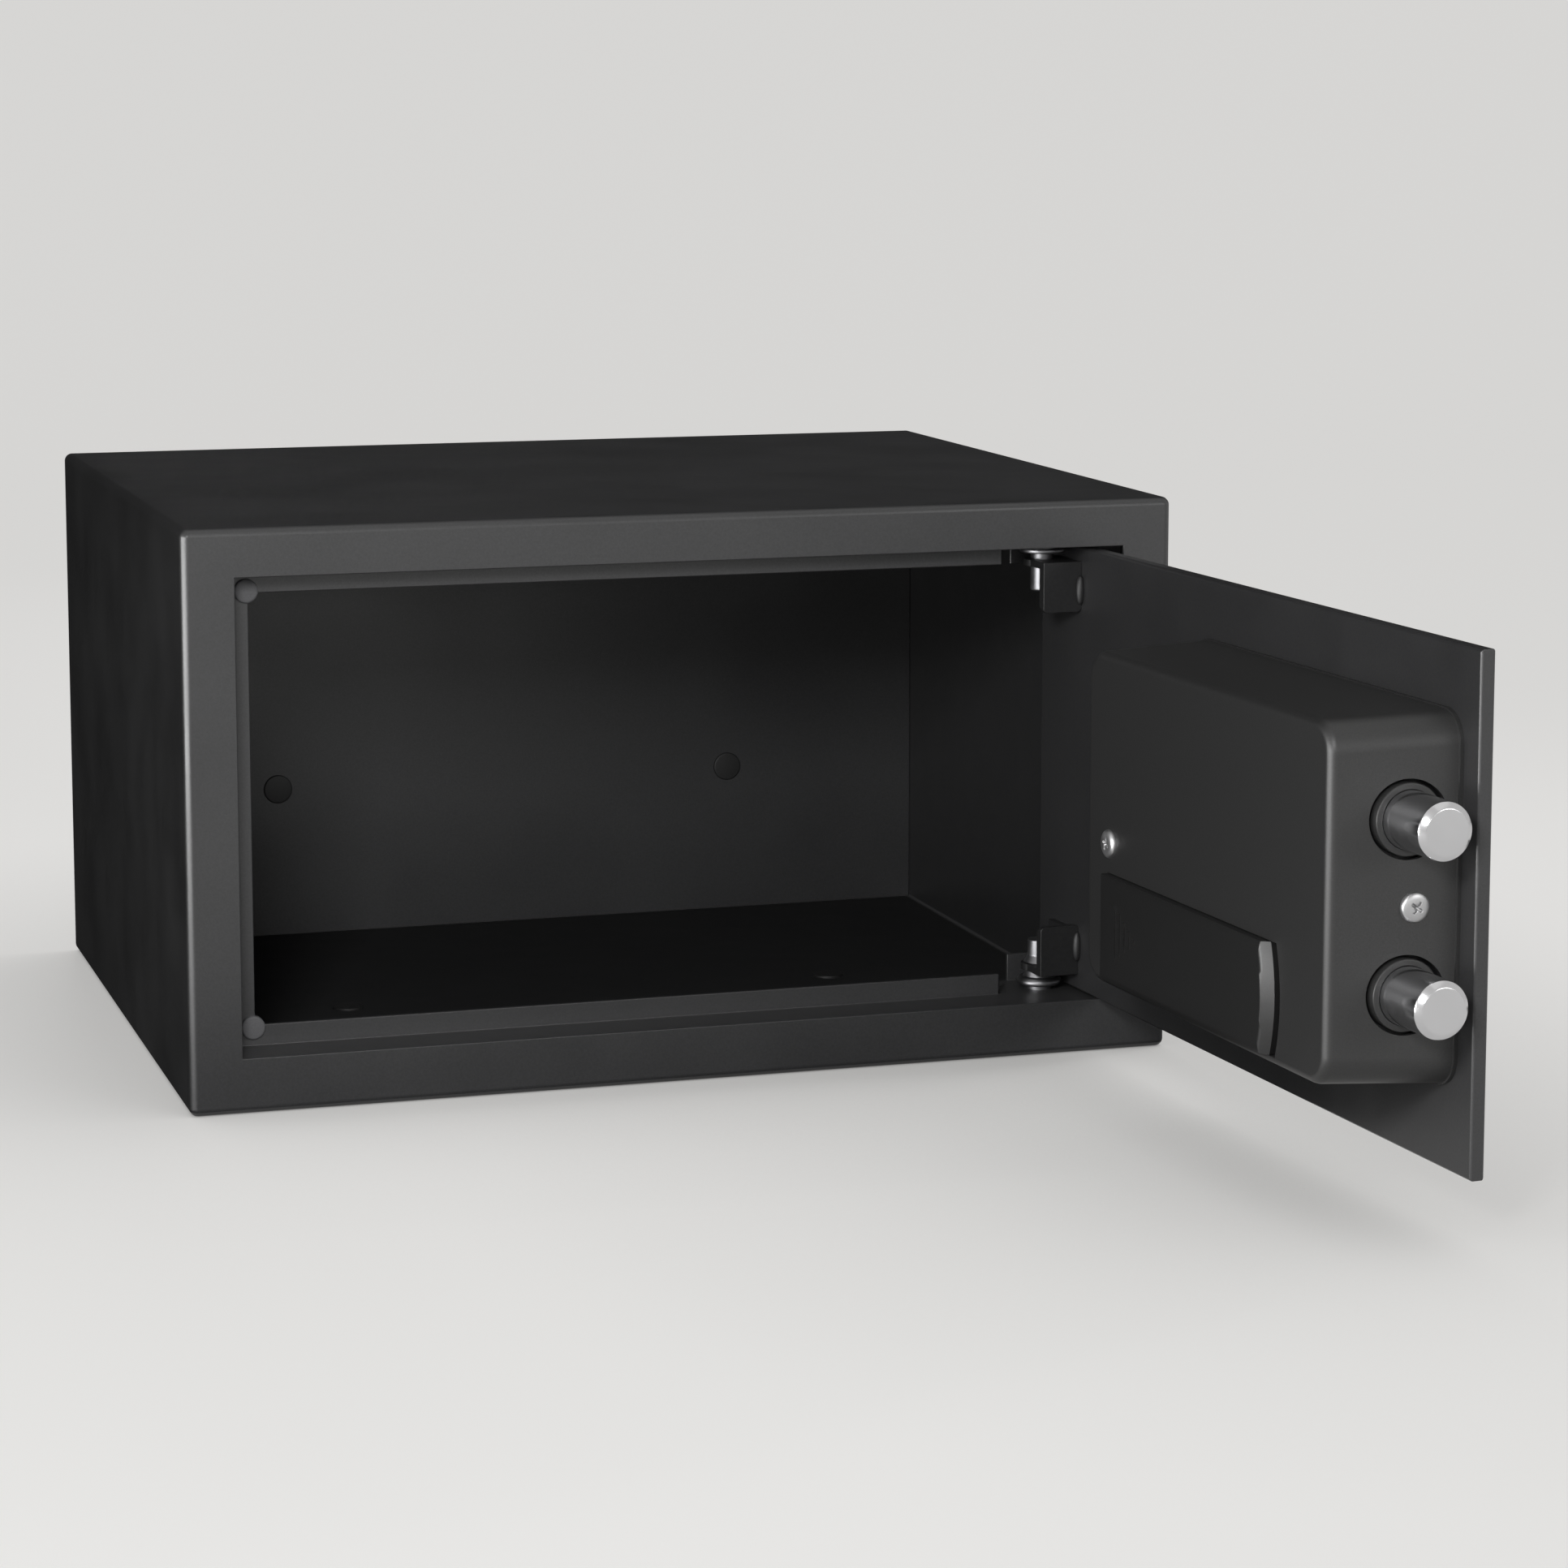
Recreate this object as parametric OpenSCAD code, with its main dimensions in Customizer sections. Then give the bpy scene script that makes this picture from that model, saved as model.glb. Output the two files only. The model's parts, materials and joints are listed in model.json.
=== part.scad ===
// Electronic safe with a recessed swing door, two round bolts and a moulded lock cover.
// Millimetres. Origin at the centre of the cabinet's underside, X to the hinge side,
// Y to the back, Z up. Every piece is drawn with Y = 0 at the front face, with the door shut,
// and is then moved back to the origin and, if it is on the door, swung open.

/* [Cabinet] */
// Width over the side walls
body_w = 430; // [400:1:500]
// Height of the cabinet
body_h = 243; // [235:1:300]
// Depth of the cabinet
body_d = 345; // [260:1:420]
// Thickness of the folded steel sheet
sheet = 2; // [1.2:0.1:2.5]
// Outer radius of the folded edges
bend_r = 3.5; // [2.8:0.1:6]
// Width of the front frame at each side of the opening
side_rail = 22; // [18:0.5:30]
// Width of the front frame above the opening
top_rail = 20.5; // [17:0.5:26]
// Width of the front frame below the opening
bottom_rail = 23.5; // [19:0.5:29]

/* [Door seat] */
// How far the door's outer face lies behind the front face
door_recess = 13; // [10:0.5:18]
// Width of the stop that the shut door meets
stop_w = 9; // [7:0.5:11]
// Length at the hinge side that has no stop
stop_free = 48; // [46:0.5:60]
// Diameter of the rubber bumpers on the stop's corners
bumper_d = 10; // [6:0.5:14]
// Thickness of the rubber bumpers
bumper_h = 2.3; // [1.5:0.1:4]

/* [Door] */
// Thickness of the door plate
door_t = 6; // [4:0.5:8]
// Gap between the door plate and the opening
door_gap = 1.5; // [1:0.1:2]
// Edge break of the door plate
door_chamfer = 0.8; // [0.3:0.1:1.5]
// Opening angle of the door as it is drawn
door_open = 93.5; // [0:0.5:100]

/* [Hinges] */
// Distance of the hinge axis from the opening's hinge edge
hinge_in = 26; // [24:0.5:30]
// Distance of the hinge axis behind the door's inner face
hinge_back = 11; // [10.5:0.25:14]
// Diameter of the hinge pins
pin_d = 10; // [8:0.5:10.5]
// Diameter of the pins' flanges
pin_flange_d = 20; // [16:0.5:20]
// Thickness of the upper pin's flange
pin_flange_t = 2; // [1.5:0.25:3]
// Length of a pin from the jamb to its tip
pin_len = 22; // [18:0.5:26]
// Thickness of the hinge brackets
bracket_t = 3; // [2:0.25:4]
// Height of the hinge brackets
bracket_h = 22; // [16:0.5:26]
// Depth of the hinge brackets off the door
bracket_depth = 18; // [17:0.5:21]

/* [Lock cover] */
// Width of the lock cover at its foot
cover_w = 216; // [210:1:226]
// Height of the lock cover at its foot
cover_h = 139.5; // [132:0.5:150]
// Depth of the lock cover
cover_depth = 50; // [47:0.5:60]
// Wall of the lock cover
cover_wall = 2.2; // [1.6:0.1:3]
// Distance of the cover from the door's free edge
cover_in = 11.5; // [9:0.5:15]
// Distance of the cover from the door's lower edge
cover_up = 32; // [26:0.5:36]
// Corner radius of the cover, seen from the front
cover_r = 12; // [8:0.5:16]
// Radius round the cover's front face
cover_edge_r = 3.5; // [2.5:0.5:5]
// Draft of the cover's free side over its depth
cover_side_draft = 8; // [4:0.5:9]
// Draft of the other sides over its depth
cover_draft = 2; // [1:0.25:4]

/* [Bolts] */
// Diameter of the two bolts
bolt_d = 22; // [18:0.5:23]
// Distance between the bolts' axes
bolt_pitch = 65; // [62:0.5:70]
// Height of the lock's centre line above the cover's foot
lock_up = 68.5; // [66:0.5:72]
// Distance of the bolts' axes behind the door's inner face
bolt_back = 20; // [18.5:0.25:22]
// How far a thrown bolt reaches past the door's free edge
bolt_reach = 13.5; // [11:0.5:15]
// Travel of the bolts
bolt_throw = 25; // [25:0.5:27]
// Length of a bolt
bolt_len = 80; // [76:0.5:82]

/* [Knob] */
// Diameter of the opening knob
knob_d = 44; // [36:1:50]
// How far the knob stands in front of its rose
knob_h = 24; // [16:1:30]
// Diameter of the knob's spindle
spindle_d = 8; // [6:0.5:10]

/* [Keypad] */
// Width of the keypad housing
pad_w = 214; // [204:1:230]
// Height of the keypad housing
pad_h = 100; // [98:1:106]
// Depth of the keypad housing
pad_t = 10; // [9:0.5:12]
// Spacing of the buttons, side to side
key_pitch_x = 17; // [15:0.5:18]
// Spacing of the buttons, top to bottom
key_pitch_z = 15; // [13:0.5:16]
// Width of a button
key_w = 13; // [10:0.5:13.5]
// Height of a button
key_h = 10.5; // [8:0.5:11.5]
// Travel of a button
key_travel = 1; // [0.5:0.1:1.2]

/* [Battery] */
// Diameter of a cell
cell_d = 14.5; // [13.5:0.1:14.5]
// Length of a cell
cell_len = 50.5; // [44:0.5:50.5]
// Length of the battery lid
lid_l = 146; // [140:0.5:150]
// Height of the battery lid
lid_h = 43; // [40:0.5:45]
// How far the battery lid stands proud of the cover
lid_proud = 4; // [2:0.25:6]
// How far the lid slides to unlatch
lid_travel = 4; // [2:0.25:5]

/* [Anchoring] */
// Diameter of the anchor holes
anchor_d = 10; // [8:0.5:14]
// Distance between the two anchor holes in the base
anchor_base_pitch = 230; // [150:5:300]
// Distance between the two anchor holes in the back
anchor_back_pitch = 230; // [150:5:300]
// Height of the anchor holes in the back
anchor_back_z = 75; // [60:5:150]

/* [Hidden] */
$fn = 48;
hull_fn = 32;

// Clearances
play = 0.08;         // radial play of a shaft in its bore
slip = 0.3;          // gap between pieces that slide past each other
seat_gap = 0.2;      // gap of the shut door to its bumpers

// Opening of the front frame and the door in it, shut
open_x = body_w / 2 - side_rail;
open_z0 = bottom_rail;
open_z1 = body_h - top_rail;
door_x0 = -open_x + door_gap;
door_x1 = open_x - door_gap;
door_z0 = open_z0 + door_gap;
door_z1 = open_z1 - door_gap;
door_y0 = door_recess;
door_y1 = door_y0 + door_t;
stop_y = door_y1 + bumper_h + seat_gap;
stop_x = -open_x + stop_w;
stop_z0 = open_z0 + stop_w;
stop_z1 = open_z1 - stop_w;

// Hinge axis, tabs of the jamb that carry the pins, and brackets
hinge_x = open_x - hinge_in;
hinge_y = door_y1 + hinge_back;
tab_x = open_x - stop_free + sheet;
tab_past = 18;                          // tab behind the axis
tab_y = hinge_y + tab_past;
upstand_h = 12;                         // turned-up end of a tab
upstand_left = 9;
upstand_right = 5;
stiffener_l = 20;
stiffener_over = 12;                    // how far a stiffener's foot reaches past its tab
pin_spacer = 3;                         // collar that the upper pin hangs on
pin_tip = 1;                            // edge break of a pin's tip
pin_neck = 2;                           // step from a pin to its collar, out
pin_foot = 1.7;                         // foot of the lower pin below its dish
dish_h = 4;                             // dish-shaped flange of the lower pin
dish_rim = 1.2;                         // upright rim of the dish
flare_r = 1.8;                          // flare that holds the lower ear down, out past the pin
flare_h = 3;
ear_gap = 2.8;                          // flange of a pin to the ear of its bracket
ear_wall = 3;                           // ear round its bore
foot_reach = 8;                         // foot of a bracket past the axis
bracket_z0 = open_z0 + pin_foot + dish_h + ear_gap;
bracket_z1 = open_z1 - pin_spacer - pin_flange_t - ear_gap;
web_gap = 4.5;                          // web of a bracket to the pin's flange
web_r = 2;                              // round corners of the web
web_lip = 4.7;                          // folded lip on the web's free edge
web_x = hinge_x - pin_flange_d / 2 - bracket_t / 2 - web_gap;
bumper_out = 1;                         // bumper's centre past the stop's inner corner

// Lock cover
cover_x0 = door_x0 + cover_in;
cover_x1 = cover_x0 + cover_w;
cover_z0 = door_z0 + cover_up;
cover_z1 = cover_z0 + cover_h;
cover_y = door_y1 + cover_depth;
foot_lip = 0.6;                         // lip round the cover's foot
foot_lip_h = 1.6;

// Bolts, thrown
lock_z = cover_z0 + lock_up;
bolt_x0 = door_x0 - bolt_reach;
bolt_x1 = bolt_x0 + bolt_len;
bolt_y = door_y1 + bolt_back;
bolt_zs = [lock_z - bolt_pitch / 2, lock_z + bolt_pitch / 2];
tail_l = 25;
tail_cut = 9;                           // depth of the flat from the bolt's axis
bush_wall = 1.9;
bush_od = bolt_d + 2 * bush_wall;
bush_lip = 1;
bush_gap = 2.1;                         // between a bush and the cover round it
bolt_edge_r = 2.3;                      // edge break of a bolt's end, outwards
bolt_edge_l = 2;                        // and along the bolt

// Screws that hold the cover
screw_d = 9.5;
screw_head = 2.6;
screw_shank = 4;
screw_sink = 0.6;                       // seat of the front screw below the cover's face
front_screw_in = 23.5;                  // from the cover's hinge side
front_screw_low = 7.8;                  // below the lock's centre line
front_screw_x = cover_x1 - front_screw_in;
front_screw_z = lock_z - front_screw_low;
side_screw_up = 17;                     // off the door
side_screw_y = door_y1 + side_screw_up;
side_seat_in = 3.6;
side_seat_x = cover_x0 + side_seat_in;
post_d = 9;

// Chassis plate on the door, with its turned-up guide
chassis_t = 2;
chassis_y = door_y1 + chassis_t;
guide_x = cover_x0 + cover_side_draft + cover_wall;
chassis_x1 = front_screw_x - post_d / 2 - 4;
chassis_z0 = cover_z0 + cover_draft + cover_wall + 6.3;
chassis_z1 = cover_z1 - cover_draft - cover_wall - 2.8;
chassis_r = 3;
guide_top = bolt_y + bolt_d / 2 + 5;
bush_in = 2.5;
bush_x0 = cover_x0 + bush_in;
bush_x1 = guide_x + chassis_t + 1.8;

// Carriage that joins the bolts, thrown
car_t = 3;
car_y = bolt_y - tail_cut - car_t;
car_x0 = bolt_x1 - tail_l;
car_l = 54;
car_x1 = car_x0 + car_l;
arm_half = 7;                           // half height of the arms under the bolts
arm_l = tail_l - 1;
rear_l = 48;                            // narrow rear of the carriage
rear_low = 25;
rear_high = 3;
rear_x1 = car_x1 + rear_l;
rear_z0 = lock_z - rear_low;
rear_z1 = lock_z + rear_high;

// Knob: a crank turns a quarter turn and its pin moves the carriage by the throw
crank_r = bolt_throw / sqrt(2);
crank_pin_d = 6;
crank_t = 4;
crank_w = 10;
hub_d = 14;
slot_play = 0.75;                       // the pin runs on an arc, the carriage on a line
spindle_x = car_x1 + 1;
crank_y = car_y - 1;                    // back face of the crank
crank_slot_x = spindle_x - bolt_throw / 2;
stud_d = 6;
stud_past = 32;                         // past the spindle
stud_low = 18.5;
stud_x = spindle_x + stud_past;
stud_z = lock_z - stud_low;
stud_head_t = 1.5;
stud_head_d = stud_d + 5;

// Solenoid, whose plunger drops behind the carriage's lug
lug_w = 8;
lug_h = 6;
lug_in = 8;
lug_x1 = rear_x1 - lug_in;
plunger_d = 6;
plunger_x = lug_x1 + 1 + plunger_d / 2;
plunger_y = car_y + car_t / 2 + 0.5;
plunger_stroke = lug_h - 0.5;
plunger_tip = rear_z1 + lug_h + 1;      // withdrawn
plunger_head = 2;
plunger_lip = 4;
sol_w = 28;
sol_h = 36;
sol_z0 = plunger_tip + plunger_stroke + 1;
sol_z1 = sol_z0 + sol_h;
sol_t = 2 * (plunger_y - chassis_y);
sol_plate = 2;                          // ends of the frame
sol_strap = 1.5;                        // back of the frame
sol_coil_d = sol_t - 2 * sol_strap + 0.8;
plunger_top = sol_z1 + plunger_stroke + 1.5;

// Circuit board on its stand-offs
board_gap = 6;                          // past the solenoid
board_in = 2;                           // inside the chassis
board_low = 13;
board_up = 19;                          // off the chassis
board_x0 = plunger_x + sol_w / 2 + board_gap;
board_x1 = chassis_x1 - board_in;
board_z0 = lock_z - board_low;
board_z1 = chassis_z1 - board_in;
board_t = 1.6;
board_y = chassis_y + board_up;
standoff_d = 6;
chip = [10, 2, 14];
chip_at = [6, 12];                      // below the cable
capacitor_d = 8;
capacitor_l = 9;
capacitor_at = [10, 48];

// Battery box in the cover and the lid over it
lid_t = 2;
lid_in = 22;                            // from the cover's hinge side
lid_x1 = cover_x1 - lid_in;
lid_x0 = lid_x1 - lid_l;
lid_bow = 3.5;                          // rise of the lid's curved end
tray_t = 1.5;
tray_lip = 1;
lid_z0 = cover_z0 + cover_draft + cover_edge_r;
lid_z1 = lid_z0 + lid_h;
tray_y1 = cover_y - cover_wall;         // back of the cover's face
cell_gap = 0.4;
tray_depth = cell_d + 2 * cell_gap - (lid_proud - lid_t);
tray_y0 = tray_y1 - tray_depth - tray_t;
contact_room = 6.5;                     // tray past the cells at each end
tray_in = 4;                            // inside the lid's end
tray_l = 2 * (cell_len + contact_room);
tray_h = 2 * cell_d + 3 * cell_gap;
tray_x0 = lid_x1 - tray_in - tray_l;
tray_z0 = lid_z0 + (lid_h - tray_h) / 2;
cell_x0 = tray_x0 + contact_room;
cell_y = tray_y0 + tray_t + cell_gap + cell_d / 2;
cell_zs = [tray_z0 + cell_gap + cell_d / 2, tray_z0 + 2 * cell_gap + 1.5 * cell_d];
cap_l = 1.5;                            // raised end of a cell
cap_d = 5.5;
cell_apart = 1;                         // between the two cells of a row
contact_t = 0.5;
contact_half = 5;
spring_r = 3.6;
spring_wire = 0.4;
spring_turns = 3;
spring_sides = 10;                      // straight pieces in a turn
lid_bevel = 2.6;                        // bevel round the lid, but for its bowed end
lid_step = 1;                           // drop of the bevel
rib_w = 1.6;                            // ribs of the lid's arrow
rib_t = 0.6;
rib_pitch = 4.4;
rib_in = 14.4;                          // first rib from the lid's end
rib_half = 11.4;
rib_taper = 2.6;

// Keypad housing on the door's outer face
pad_past_knob = 38;
pad_x0 = spindle_x - pad_past_knob;
pad_x1 = pad_x0 + pad_w;
pad_z0 = lock_z - pad_h / 2;
pad_z1 = lock_z + pad_h / 2;
pad_y0 = door_y0 - pad_t;
pad_wall = 2;
pad_r = 14;
pad_bevel = 3;
key_in = 46;
key_low = 3;
key_x = pad_x1 - key_in;                // middle column of the buttons
key_z = lock_z - key_low;
board_pad_t = 1.6;
key_flange = 0.8;
key_lift = 1.4;                         // cap in front of the housing's face
key_gap = 0.2;
key_r = 2.5;
key_lip = 0.7;                          // flange behind the housing's face, past the cap
led_d = 5;
led_z = key_z + 2 * key_pitch_z + led_d / 2 + 0.5;
led_proud = 0.4;
cable_past = 10;                        // past the chassis
cable_up = 22;
cable_x = chassis_x1 + cable_past;
cable_z = lock_z + cable_up;
cable_w = 10;
cable_t = 1;
cable_hole_d = 14;
key_margin = 2;                         // round the field of the buttons
well_in = 8;
well = [min(key_x - 1.5 * key_pitch_x - key_margin, cable_x - cable_hole_d / 2 + 0.5),
    pad_x1 - pad_wall - well_in, key_z - 2 * key_pitch_z - key_margin, led_z + led_d];
pad_board_y = pad_y0 + pad_wall + key_gap + key_flange + key_travel + key_gap;
pad_board_in = 0.5;

// Emergency key lock
key_lock_past = 55;                     // past the spindle
key_lock_x = spindle_x + key_lock_past;
key_body_d = 19;
key_lock_z = rear_z0 - key_body_d / 2 - 1;
key_plug_d = 12;
key_body_up = 17;
key_body_y1 = door_y1 + key_body_up;
key_rim = 1.5;
key_slot = [2, 8];
key_slot_depth = 14;
cam_t = 2;
cam_w = 8;
cam_l = 16;

// Knob's grip
knob_seat = 1.2;                        // sunk into its rose, clear of its floor
knob_rose = 1.5;
knob_skirt = 6.5;
knob_bar = 12;

// Colours
steel_black = [0.20, 0.20, 0.20];
cover_black = [0.13, 0.13, 0.13];
bright = [0.80, 0.80, 0.82];
zinc = [0.62, 0.63, 0.64];

// Places
module in_cabinet() {
    translate([0, -body_d / 2, 0]) children();
}

module on_door() {
    in_cabinet() translate([hinge_x, hinge_y, 0]) rotate([0, 0, door_open])
        translate([-hinge_x, -hinge_y, 0]) children();
}

// Box from its lowest to its highest corner
module box(lo, hi) {
    translate(lo) cube(hi - lo);
}

// Cylinders along X, Y and Z between two stations
module rod_x(x0, x1, y, z, d) {
    translate([x0, y, z]) rotate([0, 90, 0]) cylinder(h = x1 - x0, d = d);
}

module rod_y(y0, y1, x, z, d) {
    translate([x, y1, z]) rotate([90, 0, 0]) cylinder(h = y1 - y0, d = d);
}

module rod_z(z0, z1, x, y, d) {
    translate([x, y, z0]) cylinder(h = z1 - z0, d = d);
}

// Flat shape drawn in X and Z, with its thickness from y0 to y1
module plate_y(y0, y1) {
    translate([0, y1, 0]) rotate([90, 0, 0]) linear_extrude(y1 - y0) children();
}

// Rectangle from lo to hi with round corners
module round_rect(lo, hi, r) {
    translate([lo[0] + r, lo[1]]) square([hi[0] - lo[0] - 2 * r, hi[1] - lo[1]]);
    translate([lo[0], lo[1] + r]) square([hi[0] - lo[0], hi[1] - lo[1] - 2 * r]);
    for (x = [lo[0] + r, hi[0] - r], z = [lo[1] + r, hi[1] - r])
        translate([x, z]) circle(r);
}

module flat(lo, hi) {
    translate(lo) square(hi - lo);
}

// Cabinet

// Outer form: its long edges are folded, and the front's edges are rounded by the same radius
module shell_block() {
    hull() for (a = [0 : 22.5 : 90], sx = [-1, 1], z = [bend_r, body_h - bend_r]) {
        r = max(bend_r * sin(a), 0.01);
        y0 = bend_r * (1 - cos(a));
        translate([sx * (body_w / 2 - bend_r), a == 90 ? body_d : y0 + 0.01, z])
            rotate([90, 0, 0]) cylinder(h = a == 90 ? body_d - y0 : 0.01, r = r, $fn = hull_fn);
    }
}

module body_shell() {
    x = body_w / 2 - sheet;
    color(steel_black) in_cabinet() difference() {
        shell_block();
        plate_y(sheet, body_d + 1)
            round_rect([-x, sheet], [x, body_h - sheet], bend_r - sheet);
        box([-open_x - sheet, -1, open_z0 - sheet], [open_x, sheet + 1, open_z1 + sheet]);
        for (s = [-0.5, 0.5])
            rod_z(-1, sheet + 1, s * anchor_base_pitch, body_d / 2, anchor_d);
    }
}

module back_panel() {
    x = body_w / 2 - sheet;
    color(steel_black) in_cabinet() difference() {
        plate_y(body_d - 2 * sheet, body_d - sheet)
            round_rect([-x, sheet], [x, body_h - sheet], bend_r - sheet);
        for (s = [-0.5, 0.5])
            rod_y(body_d - 3 * sheet, body_d, s * anchor_back_pitch, anchor_back_z, anchor_d);
    }
}

// The two corners of the stop that carry bumpers
module at_bumpers() {
    for (z = [stop_z0 - bumper_out, stop_z1 + bumper_out])
        translate([stop_x - bumper_out, 0, z]) children();
}

// Return of the front frame, with the stop, and the two tabs that carry the hinge pins
module jamb_strip(z0, z1, stop0, stop1, up0, up1) {
    box([-open_x - sheet, 0, z0], [tab_x, stop_y + sheet, z1]);
    box([tab_x, 0, z0], [open_x, tab_y, z1]);
    box([-open_x, stop_y, stop0], [open_x - stop_free, stop_y + sheet, stop1]);
    box([hinge_x - upstand_left, tab_y - sheet, up0], [hinge_x + upstand_right, tab_y, up1]);
}

module door_jamb() {
    color(steel_black) in_cabinet() difference() {
        union() {
            jamb_strip(open_z0 - sheet, open_z0, open_z0, stop_z0, open_z0, open_z0 + upstand_h);
            jamb_strip(open_z1, open_z1 + sheet, stop_z1, open_z1, open_z1 - upstand_h, open_z1);
            box([-open_x - sheet, 0, open_z0 - sheet],
                [-open_x, stop_y + sheet, open_z1 + sheet]);
            box([-open_x, stop_y, open_z0], [stop_x, stop_y + sheet, open_z1]);
            at_bumpers() rod_y(stop_y, stop_y + sheet, 0, 0, bumper_d);
        }
        for (z = [open_z0 - sheet, open_z1])
            rod_z(z - 1, z + sheet + 1, hinge_x, hinge_y, pin_d);
    }
}

// Angles that tie the tabs to the side wall
module stiffener(z0, z1) {
    x1 = body_w / 2 - sheet;
    box([open_x, sheet, z0], [x1, tab_y, z1]);
    box([x1 - sheet, tab_y, z0 - stiffener_over], [x1, tab_y + stiffener_l, z1 + stiffener_over]);
}

module hinge_stiffeners() {
    color(steel_black) in_cabinet() {
        stiffener(open_z0 - sheet, open_z0);
        stiffener(open_z1, open_z1 + sheet);
    }
}

module corner_bumpers() {
    color([0.16, 0.16, 0.16]) in_cabinet()
        at_bumpers() rod_y(stop_y - bumper_h, stop_y, 0, 0, bumper_d);
}

module hinge_pin_lower() {
    r = pin_d / 2;
    foot = open_z0 + pin_foot;
    dish = foot + dish_h;
    ear_top = bracket_z0 + bracket_t + slip;
    tip = open_z0 + pin_len;
    color(bright) in_cabinet() translate([hinge_x, hinge_y, 0]) rotate_extrude()
        polygon([[0, open_z0 - sheet], [r, open_z0 - sheet], [r, open_z0], [r + pin_neck / 2, open_z0],
            [r + pin_neck / 2, foot], [r + pin_neck, foot], [pin_flange_d / 2, dish - dish_rim],
            [pin_flange_d / 2, dish], [r + pin_neck, dish], [r + pin_neck / 2, bracket_z0 - slip],
            [r, bracket_z0 - slip], [r, ear_top], [r + flare_r, ear_top], [r, ear_top + flare_h],
            [r, tip - pin_tip], [r - pin_tip, tip], [0, tip]]);
}

module hinge_pin_upper() {
    r = pin_d / 2;
    tip = open_z1 - pin_len;
    flange = open_z1 - pin_spacer;
    color(bright) in_cabinet() translate([hinge_x, hinge_y, 0]) rotate_extrude()
        polygon([[0, open_z1 + sheet], [r, open_z1 + sheet], [r, open_z1],
            [r + pin_neck, open_z1], [r + pin_neck, flange],
            [pin_flange_d / 2, flange], [pin_flange_d / 2, flange - pin_flange_t],
            [r, flange - pin_flange_t], [r, tip + pin_tip], [r - pin_tip, tip], [0, tip]]);
}

// Door

module door_plate() {
    c = door_chamfer;
    color(steel_black) on_door() difference() {
        hull() {
            box([door_x0 + c, door_y0, door_z0 + c], [door_x1 - c, door_y1, door_z1 - c]);
            box([door_x0, door_y0 + c, door_z0], [door_x1, door_y1 - c, door_z1]);
        }
        rod_y(door_y0 - 1, door_y1 + 1, spindle_x, lock_z, spindle_d + 2 * play);
        rod_y(door_y0 - 1, door_y1 + 1, key_lock_x, key_lock_z, key_body_d);
        rod_y(door_y0 - 1, door_y1 + 1, cable_x, cable_z, cable_hole_d);
    }
}

// Bracket folded from one blank: foot on the door, web square to it with a lip on its free edge,
// and an ear with the bore. It is drawn with the ear at the bottom from z = 0.
module bracket() {
    t = bracket_t;
    web0 = web_x - t / 2;
    edge = door_y1 + bracket_depth;
    difference() {
        union() {
            translate([web0, 0, 0]) rotate([90, 0, 90]) linear_extrude(t) {
                round_rect([door_y1, 0], [edge, bracket_h], web_r);
                flat([door_y1, 0], [edge, web_r]);
            }
            box([web0, edge - t, 0], [web0 + web_lip, edge, bracket_h - web_r]);
            box([web_x, door_y1, 0], [hinge_x + foot_reach, door_y1 + t, bracket_h - web_r]);
            linear_extrude(t) {
                flat([web_x, door_y1], [hinge_x, door_y1 + bracket_depth]);
                flat([web_x, door_y1], [hinge_x + foot_reach, hinge_y]);
                translate([hinge_x, hinge_y]) circle(pin_d / 2 + ear_wall);
            }
        }
        rod_z(-1, t + 1, hinge_x, hinge_y, pin_d + 2 * play);
    }
}

module hinge_bracket_lower() {
    color(steel_black) on_door() translate([0, 0, bracket_z0]) bracket();
}

module hinge_bracket_upper() {
    color(steel_black) on_door() translate([0, 0, bracket_z1]) mirror([0, 0, 1]) bracket();
}

// Slab of the cover: a rounded rectangle at depth y, drawn in by the draft and by d
module cover_slab(y, d, h) {
    k = (y - door_y1) / cover_depth;
    lo = [cover_x0 + cover_side_draft * k + d, cover_z0 + cover_draft * k + d];
    hi = [cover_x1 - cover_draft * k - d, cover_z1 - cover_draft * k - d];
    r = max(cover_r - d, 1);
    for (x = [lo[0] + r, hi[0] - r], z = [lo[1] + r, hi[1] - r])
        translate([x, y + h, z]) rotate([90, 0, 0]) cylinder(h = h, r = r, $fn = hull_fn);
}

module cover_block(d, front) {
    r = max(cover_edge_r - d, 0.3);
    hull() {
        cover_slab(door_y1 - (d > 0 ? 1 : 0), d, 0.1);
        for (a = [0 : 22.5 : 90])
            cover_slab(front - r + (r - 0.1) * sin(a), d + r * (1 - cos(a)), 0.1);
    }
}

// Outline of the battery lid, grown by g on every side, and by extra at its bowed end
module lid_outline(g, extra) {
    h = lid_h / 2 + g;
    z = (lid_z0 + lid_z1) / 2;
    r = (pow(h, 2) + pow(lid_bow, 2)) / (2 * lid_bow);
    x0 = lid_x0 + lid_bow - g - extra;
    flat([x0, z - h], [lid_x1 + g, z + h]);
    intersection() {
        translate([x0 - lid_bow + r, z]) circle(r, $fn = 160);
        flat([x0 - lid_bow, z - h], [x0 + 1, z + h]);
    }
}

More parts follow.
